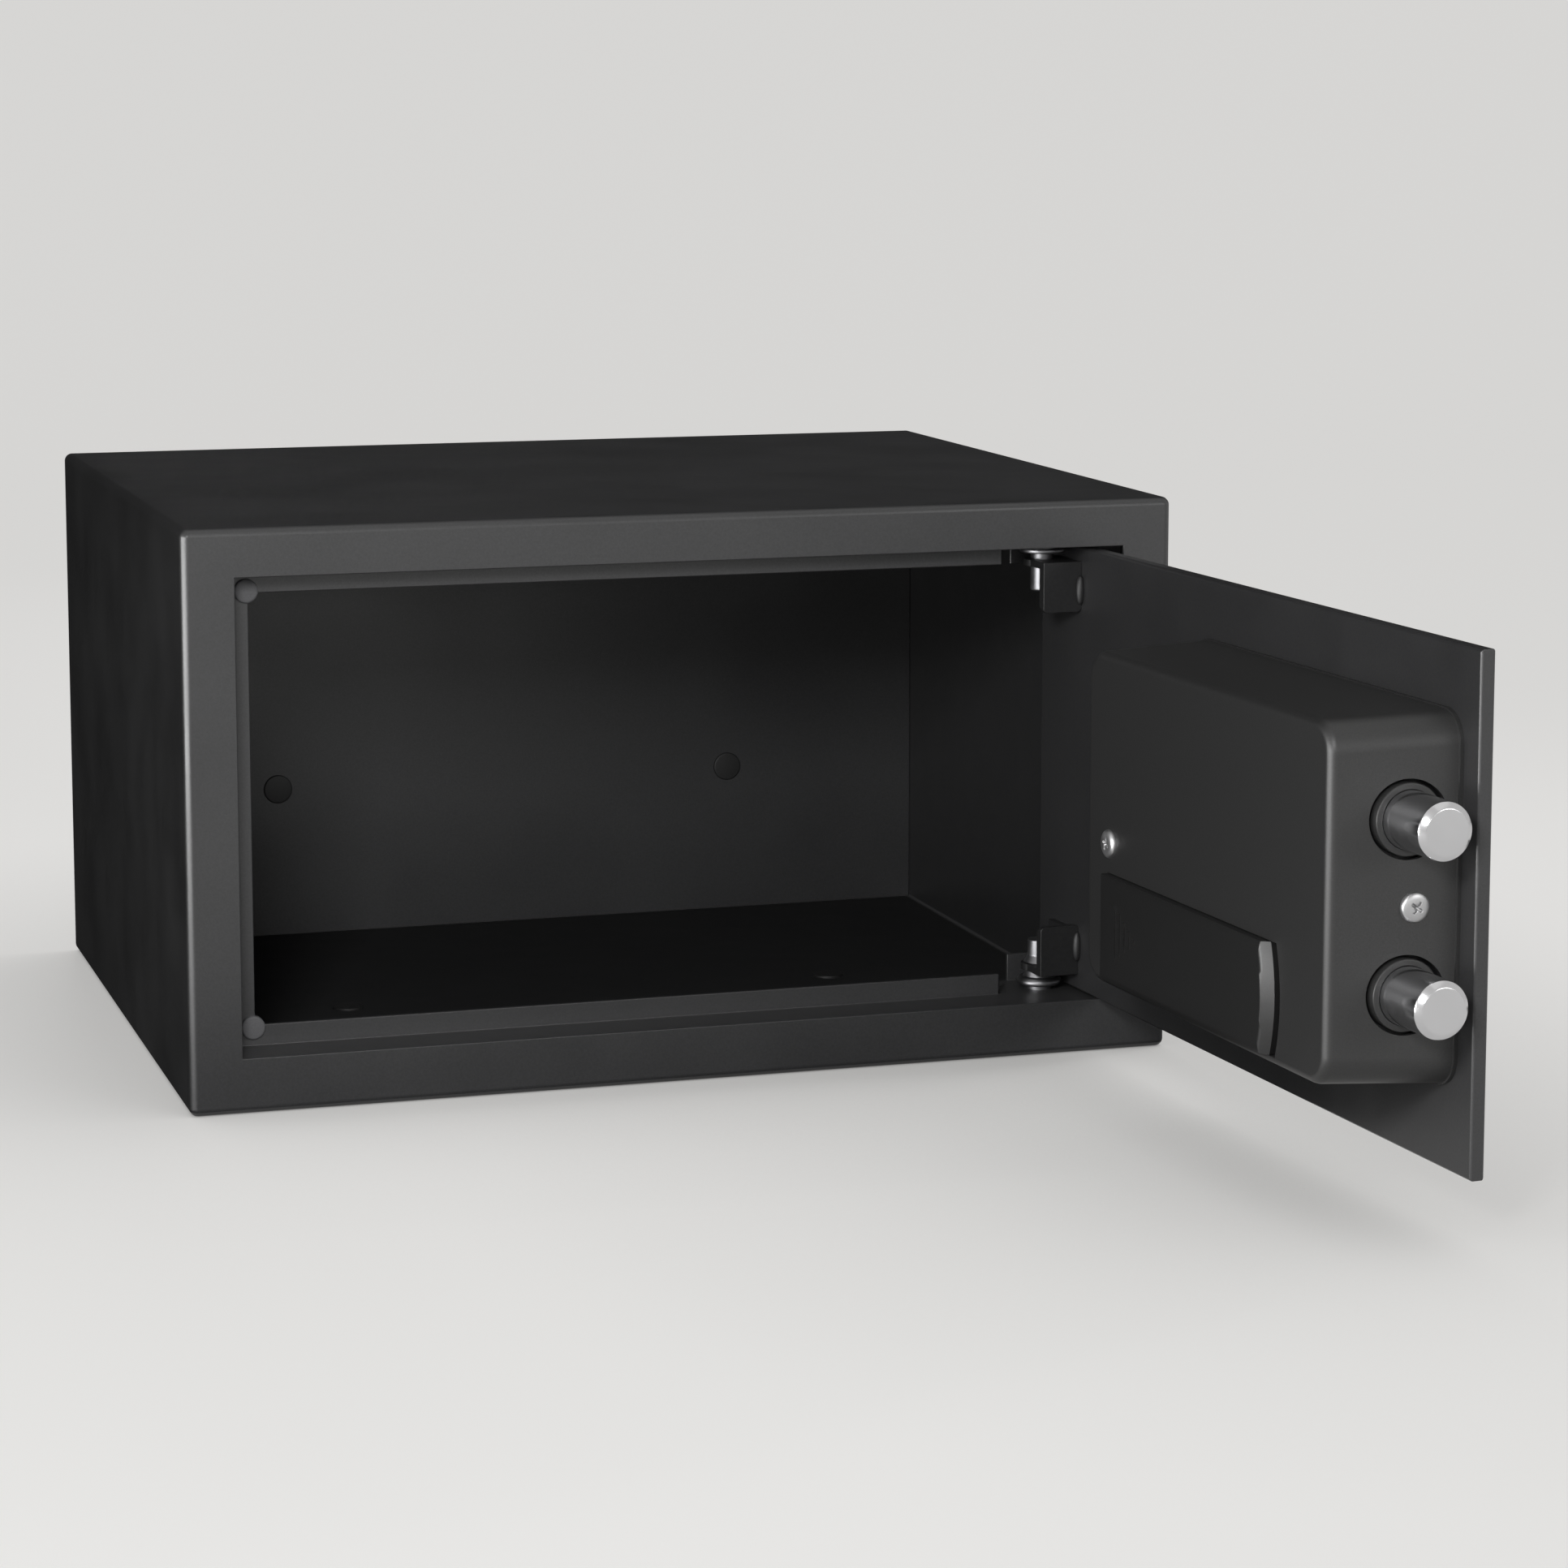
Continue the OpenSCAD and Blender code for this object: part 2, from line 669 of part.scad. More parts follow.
module lock_cover() {
    color(cover_black) on_door() difference() {
        union() {
            difference() {
                union() {
                    cover_block(0, cover_y);
                    hull() cover_slab(door_y1, -foot_lip, foot_lip_h);
                }
                cover_block(cover_wall, cover_y - cover_wall);
            }
            rod_x(side_seat_x, side_seat_x + cover_wall, side_screw_y, lock_z, screw_d + 4);
        }
        for (z = bolt_zs)
            rod_x(cover_x0 - 1, guide_x - 0.5, bolt_y, z, bush_od + 2 * bush_gap);
        rod_x(cover_x0 - 1, side_seat_x, side_screw_y, lock_z, screw_d + 0.6);
        rod_x(cover_x0 - 1, guide_x + 5, side_screw_y, lock_z, screw_shank + 0.4);
        rod_y(cover_y - screw_sink, cover_y + 1, front_screw_x, front_screw_z, screw_d + 0.6);
        rod_y(cover_y - 5, cover_y + 1, front_screw_x, front_screw_z, screw_shank + 0.4);
        plate_y(tray_y1 - 1, cover_y + 1) lid_outline(slip, lid_travel);
    }
}

// Base plate with the turned-up guide that carries the bolts' bushes
module lock_chassis() {
    color(steel_black) on_door() difference() {
        union() {
            plate_y(door_y1, chassis_y)
                round_rect([guide_x, chassis_z0], [chassis_x1, chassis_z1], chassis_r);
            box([guide_x, door_y1, chassis_z0 + chassis_r],
                [guide_x + chassis_t, guide_top, chassis_z1 - chassis_r]);
        }
        for (z = bolt_zs)
            rod_x(guide_x - 1, guide_x + chassis_t + 1, bolt_y, z, bush_od);
        rod_x(guide_x - 1, guide_x + chassis_t + 1, side_screw_y, lock_z, screw_shank + 0.1);
        rod_y(door_y1 - 1, chassis_y + 1, spindle_x, lock_z, spindle_d + 2 * play);
        rod_y(door_y1 - 1, chassis_y + 1, key_lock_x, key_lock_z, key_body_d);
    }
}

module bolt_bushes() {
    color([0.3, 0.3, 0.3]) on_door() for (z = bolt_zs) difference() {
        union() {
            rod_x(bush_x0, bush_x1, bolt_y, z, bush_od);
            rod_x(guide_x + chassis_t, bush_x1, bolt_y, z, bush_od + 2 * bush_lip);
        }
        rod_x(bush_x0 - 1, bush_x1 + 1, bolt_y, z, bolt_d + 2 * play);
    }
}

// Headed stud that keeps the carriage in line
module guide_stud() {
    top = car_y + car_t + slip;
    color(bright) on_door() {
        rod_y(chassis_y, top, stud_x, stud_z, stud_d);
        rod_y(top, top + stud_head_t, stud_x, stud_z, stud_head_d);
    }
}

module cover_posts() {
    color(zinc) on_door() difference() {
        rod_y(door_y1, tray_y1, front_screw_x, front_screw_z, post_d);
        rod_y(tray_y1 - 10, tray_y1 + 1, front_screw_x, front_screw_z, screw_shank);
    }
}

// Pan head with a cross recess, shank behind it; head's seat at z = 0, head towards +Z
module pan_screw(shank) {
    difference() {
        rotate_extrude() polygon([[0, -shank], [screw_shank / 2, -shank], [screw_shank / 2, 0],
            [screw_d / 2, 0], [screw_d / 2, screw_head * 0.4], [screw_d / 2 - 0.5, screw_head * 0.8],
            [screw_d / 2 - 1.5, screw_head], [0, screw_head]]);
        for (a = [0, 90])
            rotate([0, 0, a]) translate([-2.6, -0.55, screw_head - 1.3]) cube([5.2, 1.1, 2]);
    }
}

module cover_screws() {
    color(bright) on_door() {
        translate([front_screw_x, cover_y - screw_sink, front_screw_z])
            rotate([-90, 0, 0]) pan_screw(9);
        translate([side_seat_x, side_screw_y, lock_z]) rotate([0, -90, 0]) rotate([0, 0, 20])
            pan_screw(guide_x + chassis_t - side_seat_x + 2);
    }
}

module battery_tray() {
    z = (lid_z0 + lid_z1) / 2;
    x1 = tray_x0 + tray_l;
    color([0.1, 0.1, 0.1]) on_door() difference() {
        union() {
            box([tray_x0 - tray_t, tray_y0, tray_z0 - tray_t],
                [x1 + tray_t, tray_y1, tray_z0 + tray_h + tray_t]);
            box([lid_x0 - lid_travel - 2 * tray_lip, tray_y1 - tray_t, lid_z0],
                [lid_x1 + tray_lip, tray_y1, lid_z1 + tray_lip]);
        }
        box([tray_x0, tray_y0 + tray_t, tray_z0], [x1, tray_y1 + 1, tray_z0 + tray_h]);
    }
}

module battery_cells() {
    color([0.45, 0.35, 0.2]) on_door() for (z = cell_zs, half = [0, 1]) {
        x0 = cell_x0 + half * (cell_len + cell_apart);
        rod_x(x0, x0 + cell_len - cap_l, cell_y, z, cell_d);
        rod_x(x0 + cell_len - cap_l, x0 + cell_len, cell_y, z, cap_d);
    }
}

// Coil of round wire as one tube, its ends square to the axis
function coil_ring(r, wire, pitch, a, sides) = [for (k = [0 : sides - 1])
    let (b = 360 * k / sides)
        [pitch * a / 360 + wire * sin(b), (r + wire * cos(b)) * cos(a), (r + wire * cos(b)) * sin(a)]];

module coil(r, wire, pitch, turns) {
    steps = spring_sides * turns;
    sides = 6;
    points = [for (i = [0 : steps]) each coil_ring(r, wire, pitch, 360 * i / spring_sides, sides)];
    walls = [for (i = [0 : steps - 1], k = [0 : sides - 1]) let (n = (k + 1) % sides)
        each [[i * sides + k, (i + 1) * sides + n, (i + 1) * sides + k],
              [i * sides + k, i * sides + n, (i + 1) * sides + n]]];
    ends = [[for (k = [sides - 1 : -1 : 0]) k], [for (k = [0 : sides - 1]) steps * sides + k]];
    polyhedron(points, concat(walls, ends));
}

module battery_contacts() {
    x1 = tray_x0 + tray_l;
    pitch = (contact_room - 1.6) / spring_turns;
    color(bright) on_door() for (z = cell_zs) {
        box([tray_x0, cell_y - contact_half, z - contact_half],
            [tray_x0 + contact_t, cell_y + contact_half, z + contact_half]);
        translate([tray_x0 + contact_t + spring_wire / 2, cell_y, z])
            coil(spring_r, spring_wire, pitch, spring_turns);
        box([x1 - contact_t, cell_y - contact_half, z - contact_half],
            [x1, cell_y + contact_half, z + contact_half]);
    }
}

module circuit_board() {
    y = board_y + board_t;
    chip_lo = [board_x0 + chip_at[0], y, board_z0 + chip_at[1]];
    color([0.1, 0.3, 0.15]) on_door() {
        box([board_x0, board_y, board_z0], [board_x1, y, board_z1]);
        box(chip_lo, chip_lo + chip);
        rod_y(y, y + capacitor_l, board_x0 + capacitor_at[0], board_z0 + capacitor_at[1], capacitor_d);
    }
}

module board_standoffs() {
    i = standoff_d / 2 + 1;
    corners = [[board_x1 - i, board_z0 + i], [board_x1 - i, board_z1 - i], [board_x0 + i, board_z1 - i]];
    color(bright) on_door() for (p = corners)
        rod_y(chassis_y, board_y, p[0], p[1], standoff_d);
}

// Frame of folded strip round the coil, open to the lug below
module solenoid_body() {
    x0 = plunger_x - sol_w / 2;
    x1 = plunger_x + sol_w / 2;
    y1 = chassis_y + sol_t;
    color(zinc) on_door() difference() {
        union() {
            box([x0, chassis_y, sol_z0], [x1, y1, sol_z0 + sol_plate]);
            box([x0, chassis_y, sol_z1 - sol_plate], [x1, y1, sol_z1]);
            box([x0, chassis_y, sol_z0], [x1, chassis_y + sol_strap, sol_z1]);
            rod_z(sol_z0 + sol_plate, sol_z1 - sol_plate, plunger_x, plunger_y, sol_coil_d);
        }
        rod_z(sol_z0 - 1, sol_z1 + 1, plunger_x, plunger_y, plunger_d + 2 * play);
    }
}

// Keypad housing, open at the back, with holes for the buttons, knob, lamps and key lock
module keypad_housing() {
    color(cover_black) on_door() difference() {
        hull() {
            plate_y(pad_y0 + pad_bevel, door_y0)
                round_rect([pad_x0, pad_z0], [pad_x1, pad_z1], pad_r);
            plate_y(pad_y0, pad_y0 + 1)
                round_rect([pad_x0 + pad_bevel, pad_z0 + pad_bevel],
                    [pad_x1 - pad_bevel, pad_z1 - pad_bevel], pad_r - pad_bevel);
        }
        box([well[0], pad_y0 + pad_wall, well[2]], [well[1], door_y0 + 1, well[3]]);
        rod_y(pad_y0 - 1, door_y0 + 1, spindle_x, lock_z, spindle_d + 1);
        rod_y(pad_y0 - 1, pad_y0 + knob_rose, spindle_x, lock_z, knob_d + 2);
        rod_y(pad_y0 - 1, door_y0 + 1, key_lock_x, key_lock_z, key_body_d);
        for (i = [0 : 11])
            plate_y(pad_y0 - 1, pad_y0 + pad_wall + 1) key_outline(i, slip);
        for (i = [-1 : 1])
            rod_y(pad_y0 - 1, pad_y0 + pad_wall + 1, key_x + i * key_pitch_x, led_z, led_d);
    }
}

function key_at(i) = [key_x + (i % 3 - 1) * key_pitch_x, key_z + (1.5 - floor(i / 3)) * key_pitch_z];

module key_outline(i, g) {
    p = key_at(i);
    half = [key_w / 2 + g, key_h / 2 + g];
    round_rect(p - half, p + half, key_r + g);
}

module button(i) {
    top = pad_y0 - key_lift;
    back = pad_y0 + pad_wall + key_gap;
    color([0.3, 0.3, 0.31]) on_door() {
        plate_y(top, back) key_outline(i, 0);
        plate_y(back, back + key_flange) key_outline(i, key_lip);
    }
}

module keypad_board() {
    color([0.1, 0.3, 0.15]) on_door()
        box([well[0] + pad_board_in, pad_board_y, well[2] + pad_board_in],
            [well[1] - pad_board_in, pad_board_y + board_pad_t, well[3] - pad_board_in]);
}

module led_lenses() {
    color([0.7, 0.75, 0.7]) on_door() for (i = [-1 : 1]) {
        x = key_x + i * key_pitch_x;
        rod_y(pad_y0 - led_proud, pad_board_y, x, led_z, led_d - 0.2);
    }
}

// Ribbon from the keypad's board, through the door, to the circuit board
module keypad_cable() {
    y0 = pad_board_y + board_pad_t;
    y1 = board_y + board_t;
    z0 = cable_z - cable_w / 2;
    z1 = cable_z + cable_w / 2;
    color([0.55, 0.55, 0.55]) on_door() {
        box([cable_x - cable_t / 2, y0, z0], [cable_x + cable_t / 2, y1 + cable_t, z1]);
        box([board_x1 - 4, y1, z0], [cable_x, y1 + cable_t, z1]);
    }
}

module key_cylinder() {
    color(bright) on_door() difference() {
        union() {
            rod_y(pad_y0, key_body_y1, key_lock_x, key_lock_z, key_body_d);
            rod_y(pad_y0 - key_rim, pad_y0, key_lock_x, key_lock_z, key_body_d + 2 * key_rim);
        }
        rod_y(pad_y0 - 2, key_body_y1 + 1, key_lock_x, key_lock_z, key_plug_d + 2 * play);
    }
}

module key_plug() {
    y0 = pad_y0 - key_rim + 0.2;
    half = key_slot / 2;
    color(zinc) on_door() difference() {
        rod_y(y0, key_body_y1 + slip, key_lock_x, key_lock_z, key_plug_d);
        box([key_lock_x - half[0], y0 - 1, key_lock_z - half[1]],
            [key_lock_x + half[0], y0 + key_slot_depth, key_lock_z + half[1]]);
    }
}

module key_cam() {
    y0 = key_body_y1 + slip;
    color(zinc) on_door() plate_y(y0, y0 + cam_t) {
        translate([key_lock_x, key_lock_z]) circle(key_plug_d / 2);
        flat([key_lock_x - cam_w / 2, key_lock_z], [key_lock_x + cam_w / 2, key_lock_z + cam_l]);
    }
}

// Boltwork

// Bolt with an edge break at its end and a flat milled on its tail
module bolt(z) {
    color(bright) on_door() difference() {
        translate([bolt_x0, bolt_y, z]) rotate([0, 90, 0]) rotate_extrude()
            polygon([[0, 0], [bolt_d / 2 - bolt_edge_r, 0], [bolt_d / 2, bolt_edge_l],
                [bolt_d / 2, bolt_len], [0, bolt_len]]);
        box([bolt_x1 - tail_l, bolt_y - bolt_d, z - bolt_d],
            [bolt_x1 + 1, bolt_y - tail_cut, z + bolt_d]);
    }
}

module bolt_upper() {
    bolt(bolt_zs[1]);
}

module bolt_lower() {
    bolt(bolt_zs[0]);
}

module bolt_carriage() {
    low = bolt_zs[0] - arm_half;
    high = bolt_zs[1] + arm_half;
    slot_h = crank_r * (1 - cos(45)) + crank_pin_d + 2 * slot_play;
    slot_z = lock_z - crank_r * (1 + cos(45)) / 2;
    run = bolt_throw + stud_d + 2 * slip;
    color(zinc) on_door() difference() {
        plate_y(car_y, car_y + car_t) {
            flat([car_x0, low], [car_x1, low + 2 * arm_half]);
            flat([car_x0, high - 2 * arm_half], [car_x1, high]);
            flat([car_x0 + arm_l, low], [car_x1, high]);
            flat([car_x1, rear_z0], [rear_x1, rear_z1]);
            flat([lug_x1 - lug_w, rear_z1], [lug_x1, rear_z1 + lug_h]);
        }
        plate_y(car_y - 1, car_y + car_t + 1)
            round_rect([crank_slot_x - crank_pin_d / 2 - slot_play, slot_z - slot_h / 2],
                [crank_slot_x + crank_pin_d / 2 + slot_play, slot_z + slot_h / 2], 2);
        plate_y(car_y - 1, car_y + car_t + 1)
            round_rect([stud_x + stud_d / 2 + slip - run, stud_z - stud_d / 2 - slip],
                [stud_x + stud_d / 2 + slip, stud_z + stud_d / 2 + slip], stud_d / 2);
    }
}

// Knob, crank and plunger

module knob_grip() {
    r = knob_d / 2;
    color(cover_black) on_door() translate([spindle_x, pad_y0 + knob_seat, lock_z]) rotate([90, 0, 0])
        difference() {
            union() {
                rotate_extrude() polygon([[0, 0], [r, 0], [r, knob_skirt - 2.5], [r - 1.5, knob_skirt],
                    [0, knob_skirt]]);
                rotate([0, 0, 45]) linear_extrude(knob_h + knob_seat)
                    round_rect([2 - r, -knob_bar / 2], [r - 2, knob_bar / 2], 5);
            }
            translate([0, 0, -1]) cylinder(h = knob_h + knob_seat - 6, d = spindle_d);
        }
}

module knob_spindle() {
    front = pad_y0 - knob_h + 7;
    dx = -bolt_throw / 2;
    color(bright) on_door() {
        rod_y(front, crank_y, spindle_x, lock_z, spindle_d);
        translate([spindle_x, crank_y, lock_z]) rotate([90, 0, 0]) linear_extrude(crank_t) {
            circle(d = hub_d);
            rotate([0, 0, -135]) translate([0, -crank_w / 2]) square([crank_r, crank_w]);
            rotate([0, 0, -135]) translate([crank_r, 0]) circle(d = crank_w);
        }
        rod_y(crank_y, car_y + car_t + 1, spindle_x + dx, lock_z + dx, crank_pin_d);
    }
}

module solenoid_plunger() {
    color(bright) on_door() {
        rod_z(plunger_tip, plunger_top, plunger_x, plunger_y, plunger_d);
        rod_z(plunger_top, plunger_top + plunger_head, plunger_x, plunger_y, plunger_d + plunger_lip);
    }
}

// Lid with a bevel on three sides and a thumb ramp down to the cover's face at its bowed end
module battery_lid() {
    y1 = cover_y + lid_proud;
    mid_z = (lid_z0 + lid_z1) / 2;
    color(cover_black) on_door() {
        difference() {
            union() {
                plate_y(tray_y1 + slip / 2, cover_y) lid_outline(0, 0);
                hull() {
                    plate_y(cover_y - 0.1, cover_y) lid_outline(0, 0);
                    plate_y(y1 - lid_step - 0.1, y1 - lid_step) lid_outline(0, lid_step - lid_proud);
                    plate_y(y1 - 0.1, y1) lid_outline(-lid_bevel, lid_bevel - lid_proud);
                }
            }
            box([tray_x0 + 1, tray_y1 - 1, lid_z0 + lid_t],
                [tray_x0 + tray_l - 1, y1 - lid_t, lid_z1 - lid_t]);
        }
        for (i = [0 : 4]) {
            x1 = lid_x1 - rib_in - rib_pitch * i;
            half = rib_half - rib_taper * i;
            box([x1 - rib_w, y1, mid_z - half], [x1, y1 + rib_t, mid_z + half]);
        }
    }
}

body_shell();
back_panel();
door_jamb();
hinge_stiffeners();
corner_bumpers();
hinge_pin_lower();
hinge_pin_upper();
door_plate();
hinge_bracket_lower();
hinge_bracket_upper();
lock_cover();
lock_chassis();
bolt_bushes();
guide_stud();
cover_posts();
cover_screws();
battery_tray();
battery_cells();
battery_contacts();
circuit_board();
board_standoffs();
solenoid_body();
keypad_housing();
keypad_board();
keypad_cable();
led_lenses();
key_cylinder();
bolt_carriage();
bolt_upper();
bolt_lower();
knob_grip();
knob_spindle();
solenoid_plunger();
battery_lid();
key_plug();
key_cam();
button(0);  // button_1
button(1);  // button_2
button(2);  // button_3
button(3);  // button_4
button(4);  // button_5
button(5);  // button_6
button(6);  // button_7
button(7);  // button_8
button(8);  // button_9
button(9);  // button_star
button(10);  // button_0
button(11);  // button_hash
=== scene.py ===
"""Looks of an electronic safe: a folded steel cabinet with its door open, seen from the front and above.

Everything is in metres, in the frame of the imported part. Pieces of the door are worked out with the door
shut, where they lie square, and are then turned about the hinge to where the door stands open.
"""

import json
import math

import bmesh
import bpy
import numpy as np
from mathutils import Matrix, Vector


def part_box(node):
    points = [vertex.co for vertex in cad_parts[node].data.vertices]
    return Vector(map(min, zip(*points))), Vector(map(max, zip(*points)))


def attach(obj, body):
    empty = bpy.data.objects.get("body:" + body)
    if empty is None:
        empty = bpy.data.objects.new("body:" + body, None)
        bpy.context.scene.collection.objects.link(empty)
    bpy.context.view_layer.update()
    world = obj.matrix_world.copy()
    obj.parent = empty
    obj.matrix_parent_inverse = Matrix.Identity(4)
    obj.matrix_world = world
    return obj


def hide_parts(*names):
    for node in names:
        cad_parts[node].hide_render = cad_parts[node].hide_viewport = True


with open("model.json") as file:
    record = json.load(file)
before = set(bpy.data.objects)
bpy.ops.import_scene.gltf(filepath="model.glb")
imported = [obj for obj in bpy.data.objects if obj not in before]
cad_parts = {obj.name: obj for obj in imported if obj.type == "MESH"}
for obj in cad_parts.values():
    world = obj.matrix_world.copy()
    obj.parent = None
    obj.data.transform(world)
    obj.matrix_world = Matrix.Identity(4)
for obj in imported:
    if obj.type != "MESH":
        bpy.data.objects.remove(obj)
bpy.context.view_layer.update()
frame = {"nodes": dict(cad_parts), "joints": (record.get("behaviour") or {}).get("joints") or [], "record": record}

MM = 0.001
SEAM = 1e-5          # points nearer than this are one point
BODY_OF = {n: b for b, ns in frame["record"]["behaviour"]["bodies"].items() for n in ns}
JOINTS = {j["name"]: j for j in frame["joints"]}

# Hinge of the door, and the angle by which the door stands open
HINGE = np.array(JOINTS["door_swing"]["pos_m"])
OPEN = math.radians(-JOINTS["door_swing"]["range_deg"][0])

# Camera, matched to the photograph, whose picture is 1932 pixels wide
PICTURE = 1932
FOCAL_PIXELS = 5169.0
AXIS_ROW = 770.0             # row of the picture that the lens's axis meets
CAMERA_PLACE = (-0.4801, -1.8467, 0.4305)
CAMERA_PITCH = -0.1340       # radians
CAMERA_YAW = -0.3010         # radians
SENSOR = 36.0                # width of the sensor, mm


# Small helpers for shapes

def shut(points):
    """The points turned back about the hinge, to where they are with the door shut."""
    return turned(points, -OPEN)


def opened(points):
    """The points turned about the hinge, from the shut door to the open one."""
    return turned(points, OPEN)


def all_opened(shapes):
    """Shapes of the shut door's frame with their points turned to the open door."""
    return [(opened(points), faces) for points, faces in shapes]


def turned(points, angle):
    """The points turned by the angle about the upright line through the hinge."""
    c, s = math.cos(angle), math.sin(angle)
    spin = np.array([[c, -s, 0], [s, c, 0], [0, 0, 1]])
    pivot = np.array([HINGE[0], HINGE[1], 0])
    return (np.asarray(points, float) - pivot) @ spin.T + pivot


def node_points(name):
    """All vertices of a CAD node."""
    mesh = frame["nodes"][name].data
    flat = np.empty(len(mesh.vertices) * 3)
    mesh.vertices.foreach_get("co", flat)
    return flat.reshape(-1, 3)


def shut_box(name):
    """Lowest and highest corners of a node of the door, with the door shut."""
    points = shut(node_points(name))
    return points.min(0), points.max(0)


def make_object(name, shapes, material):
    """A mesh object from shapes, each an array of points and a list of faces, turned outwards."""
    vertices = np.concatenate([points for points, faces in shapes])
    starts = np.cumsum([0] + [len(points) for points, faces in shapes])
    faces = []
    for start, (points, own_faces) in zip(starts, shapes):
        faces += [tuple(int(v) + start for v in face) for face in own_faces]
    mesh = bpy.data.meshes.new(name)
    mesh.from_pydata([tuple(v) for v in vertices], [], faces)
    shape = bmesh.new()
    shape.from_mesh(mesh)
    bmesh.ops.recalc_face_normals(shape, faces=shape.faces)
    shape.to_mesh(mesh)
    shape.free()
    return finish_mesh(name, mesh, material)


def stand_for(piece, *nodes):
    """The piece rides with the nodes' body and is shown in their place, where the nodes are hidden."""
    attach(piece, BODY_OF[nodes[0]])
    for node in nodes:
        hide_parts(node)
    return piece


def linked(name, data):
    """A new object with the data, linked to the scene."""
    thing = bpy.data.objects.new(name, data)
    bpy.context.scene.collection.objects.link(thing)
    return thing


def finish_mesh(name, mesh, material, smooth_angle=30.0):
    """Gives a mesh its object, its material and its shading, smooth but for edges over the angle."""
    mesh.materials.clear()
    mesh.materials.append(material)
    mesh.polygons.foreach_set("use_smooth", np.ones(len(mesh.polygons), bool))
    mesh.set_sharp_from_angle(angle=math.radians(smooth_angle))
    mesh.update()
    return linked(name, mesh)


def grid_faces(rows, columns, wrap=True):
    """Quads between neighbouring rows of a grid; with wrap the last column joins the first."""
    r = np.arange(rows - 1)[:, None]
    c = np.arange(columns if wrap else columns - 1)[None, :]
    n = (c + 1) % columns
    quads = [r * columns + c, r * columns + n, (r + 1) * columns + n, (r + 1) * columns + c]
    return np.stack(quads, -1).reshape(-1, 4)


def along(local, centre, axis):
    """Local points (side, up, axis) set at the centre with their third direction along the axis."""
    axis = np.asarray(axis, float) / np.linalg.norm(axis)
    side = np.cross(axis, [0.0, 0.0, 1.0])
    if np.linalg.norm(side) < 0.1:
        side = np.array([1.0, 0.0, 0.0])
    side /= np.linalg.norm(side)
    up = np.cross(side, axis)
    return np.asarray(centre) + np.asarray(local) @ np.array([side, up, axis])


def rounded(corners, radii, steps):
    """A profile with its corners rounded.

    Each inner corner P gives way to the parabola (1-s)^2 A + 2s(1-s) P + s^2 B, where A and B lie the
    radius before and past it; a radius of 0 keeps the corner.
    """
    corners = np.asarray(corners, float)
    out = [corners[:1]]
    s = np.linspace(0, 1, steps)[:, None]
    for before, corner, after, radius in zip(corners, corners[1:], corners[2:], radii):
        if radius == 0:
            out.append(corner[None])
            continue
        a = corner + (before - corner) * min(0.5, radius / np.linalg.norm(before - corner))
        b = corner + (after - corner) * min(0.5, radius / np.linalg.norm(after - corner))
        out.append((1 - s) ** 2 * a + 2 * s * (1 - s) * corner + s ** 2 * b)
    out.append(corners[-1:])
    return np.concatenate(out)


def revolved(profile, centre, axis, sides=96):
    """Points and faces of a profile turned about an axis.

    The profile's rows are distances along the axis and out from it. Each row becomes a ring:
    centre + axis * along + (side * cos + up * sin) * out. Rings of no radius are closed by one point.
    """
    profile = np.asarray(profile, float)
    angle = np.linspace(0, 2 * np.pi, sides, endpoint=False)
    ring = np.stack([np.cos(angle), np.sin(angle)], -1)
    flat = profile[:, 1][:, None, None] * ring
    height = np.broadcast_to(profile[:, 0][:, None, None], (len(profile), sides, 1))
    local = np.concatenate([flat, height], -1).reshape(-1, 3)
    return merge_points(along(local, centre, axis), grid_faces(len(profile), sides))


def merge_points(vertices, faces):
    """Joins points that lie together and drops the corners that this empties."""
    keys = np.round(vertices / (SEAM / 4)).astype(np.int64)
    first, where = np.unique(keys, axis=0, return_index=True, return_inverse=True)[1:]
    where = where.reshape(-1)
    kept = []
    for face in where[faces]:
        ring = [v for i, v in enumerate(face) if v != face[i - 1]]
        if len(ring) > 2:
            kept.append(tuple(ring))
    return vertices[first], kept


SHARP = 40.0                 # edges sharper than this are rounded, degrees
FLAT = 1.0                   # faces within this of one plane become one face, degrees


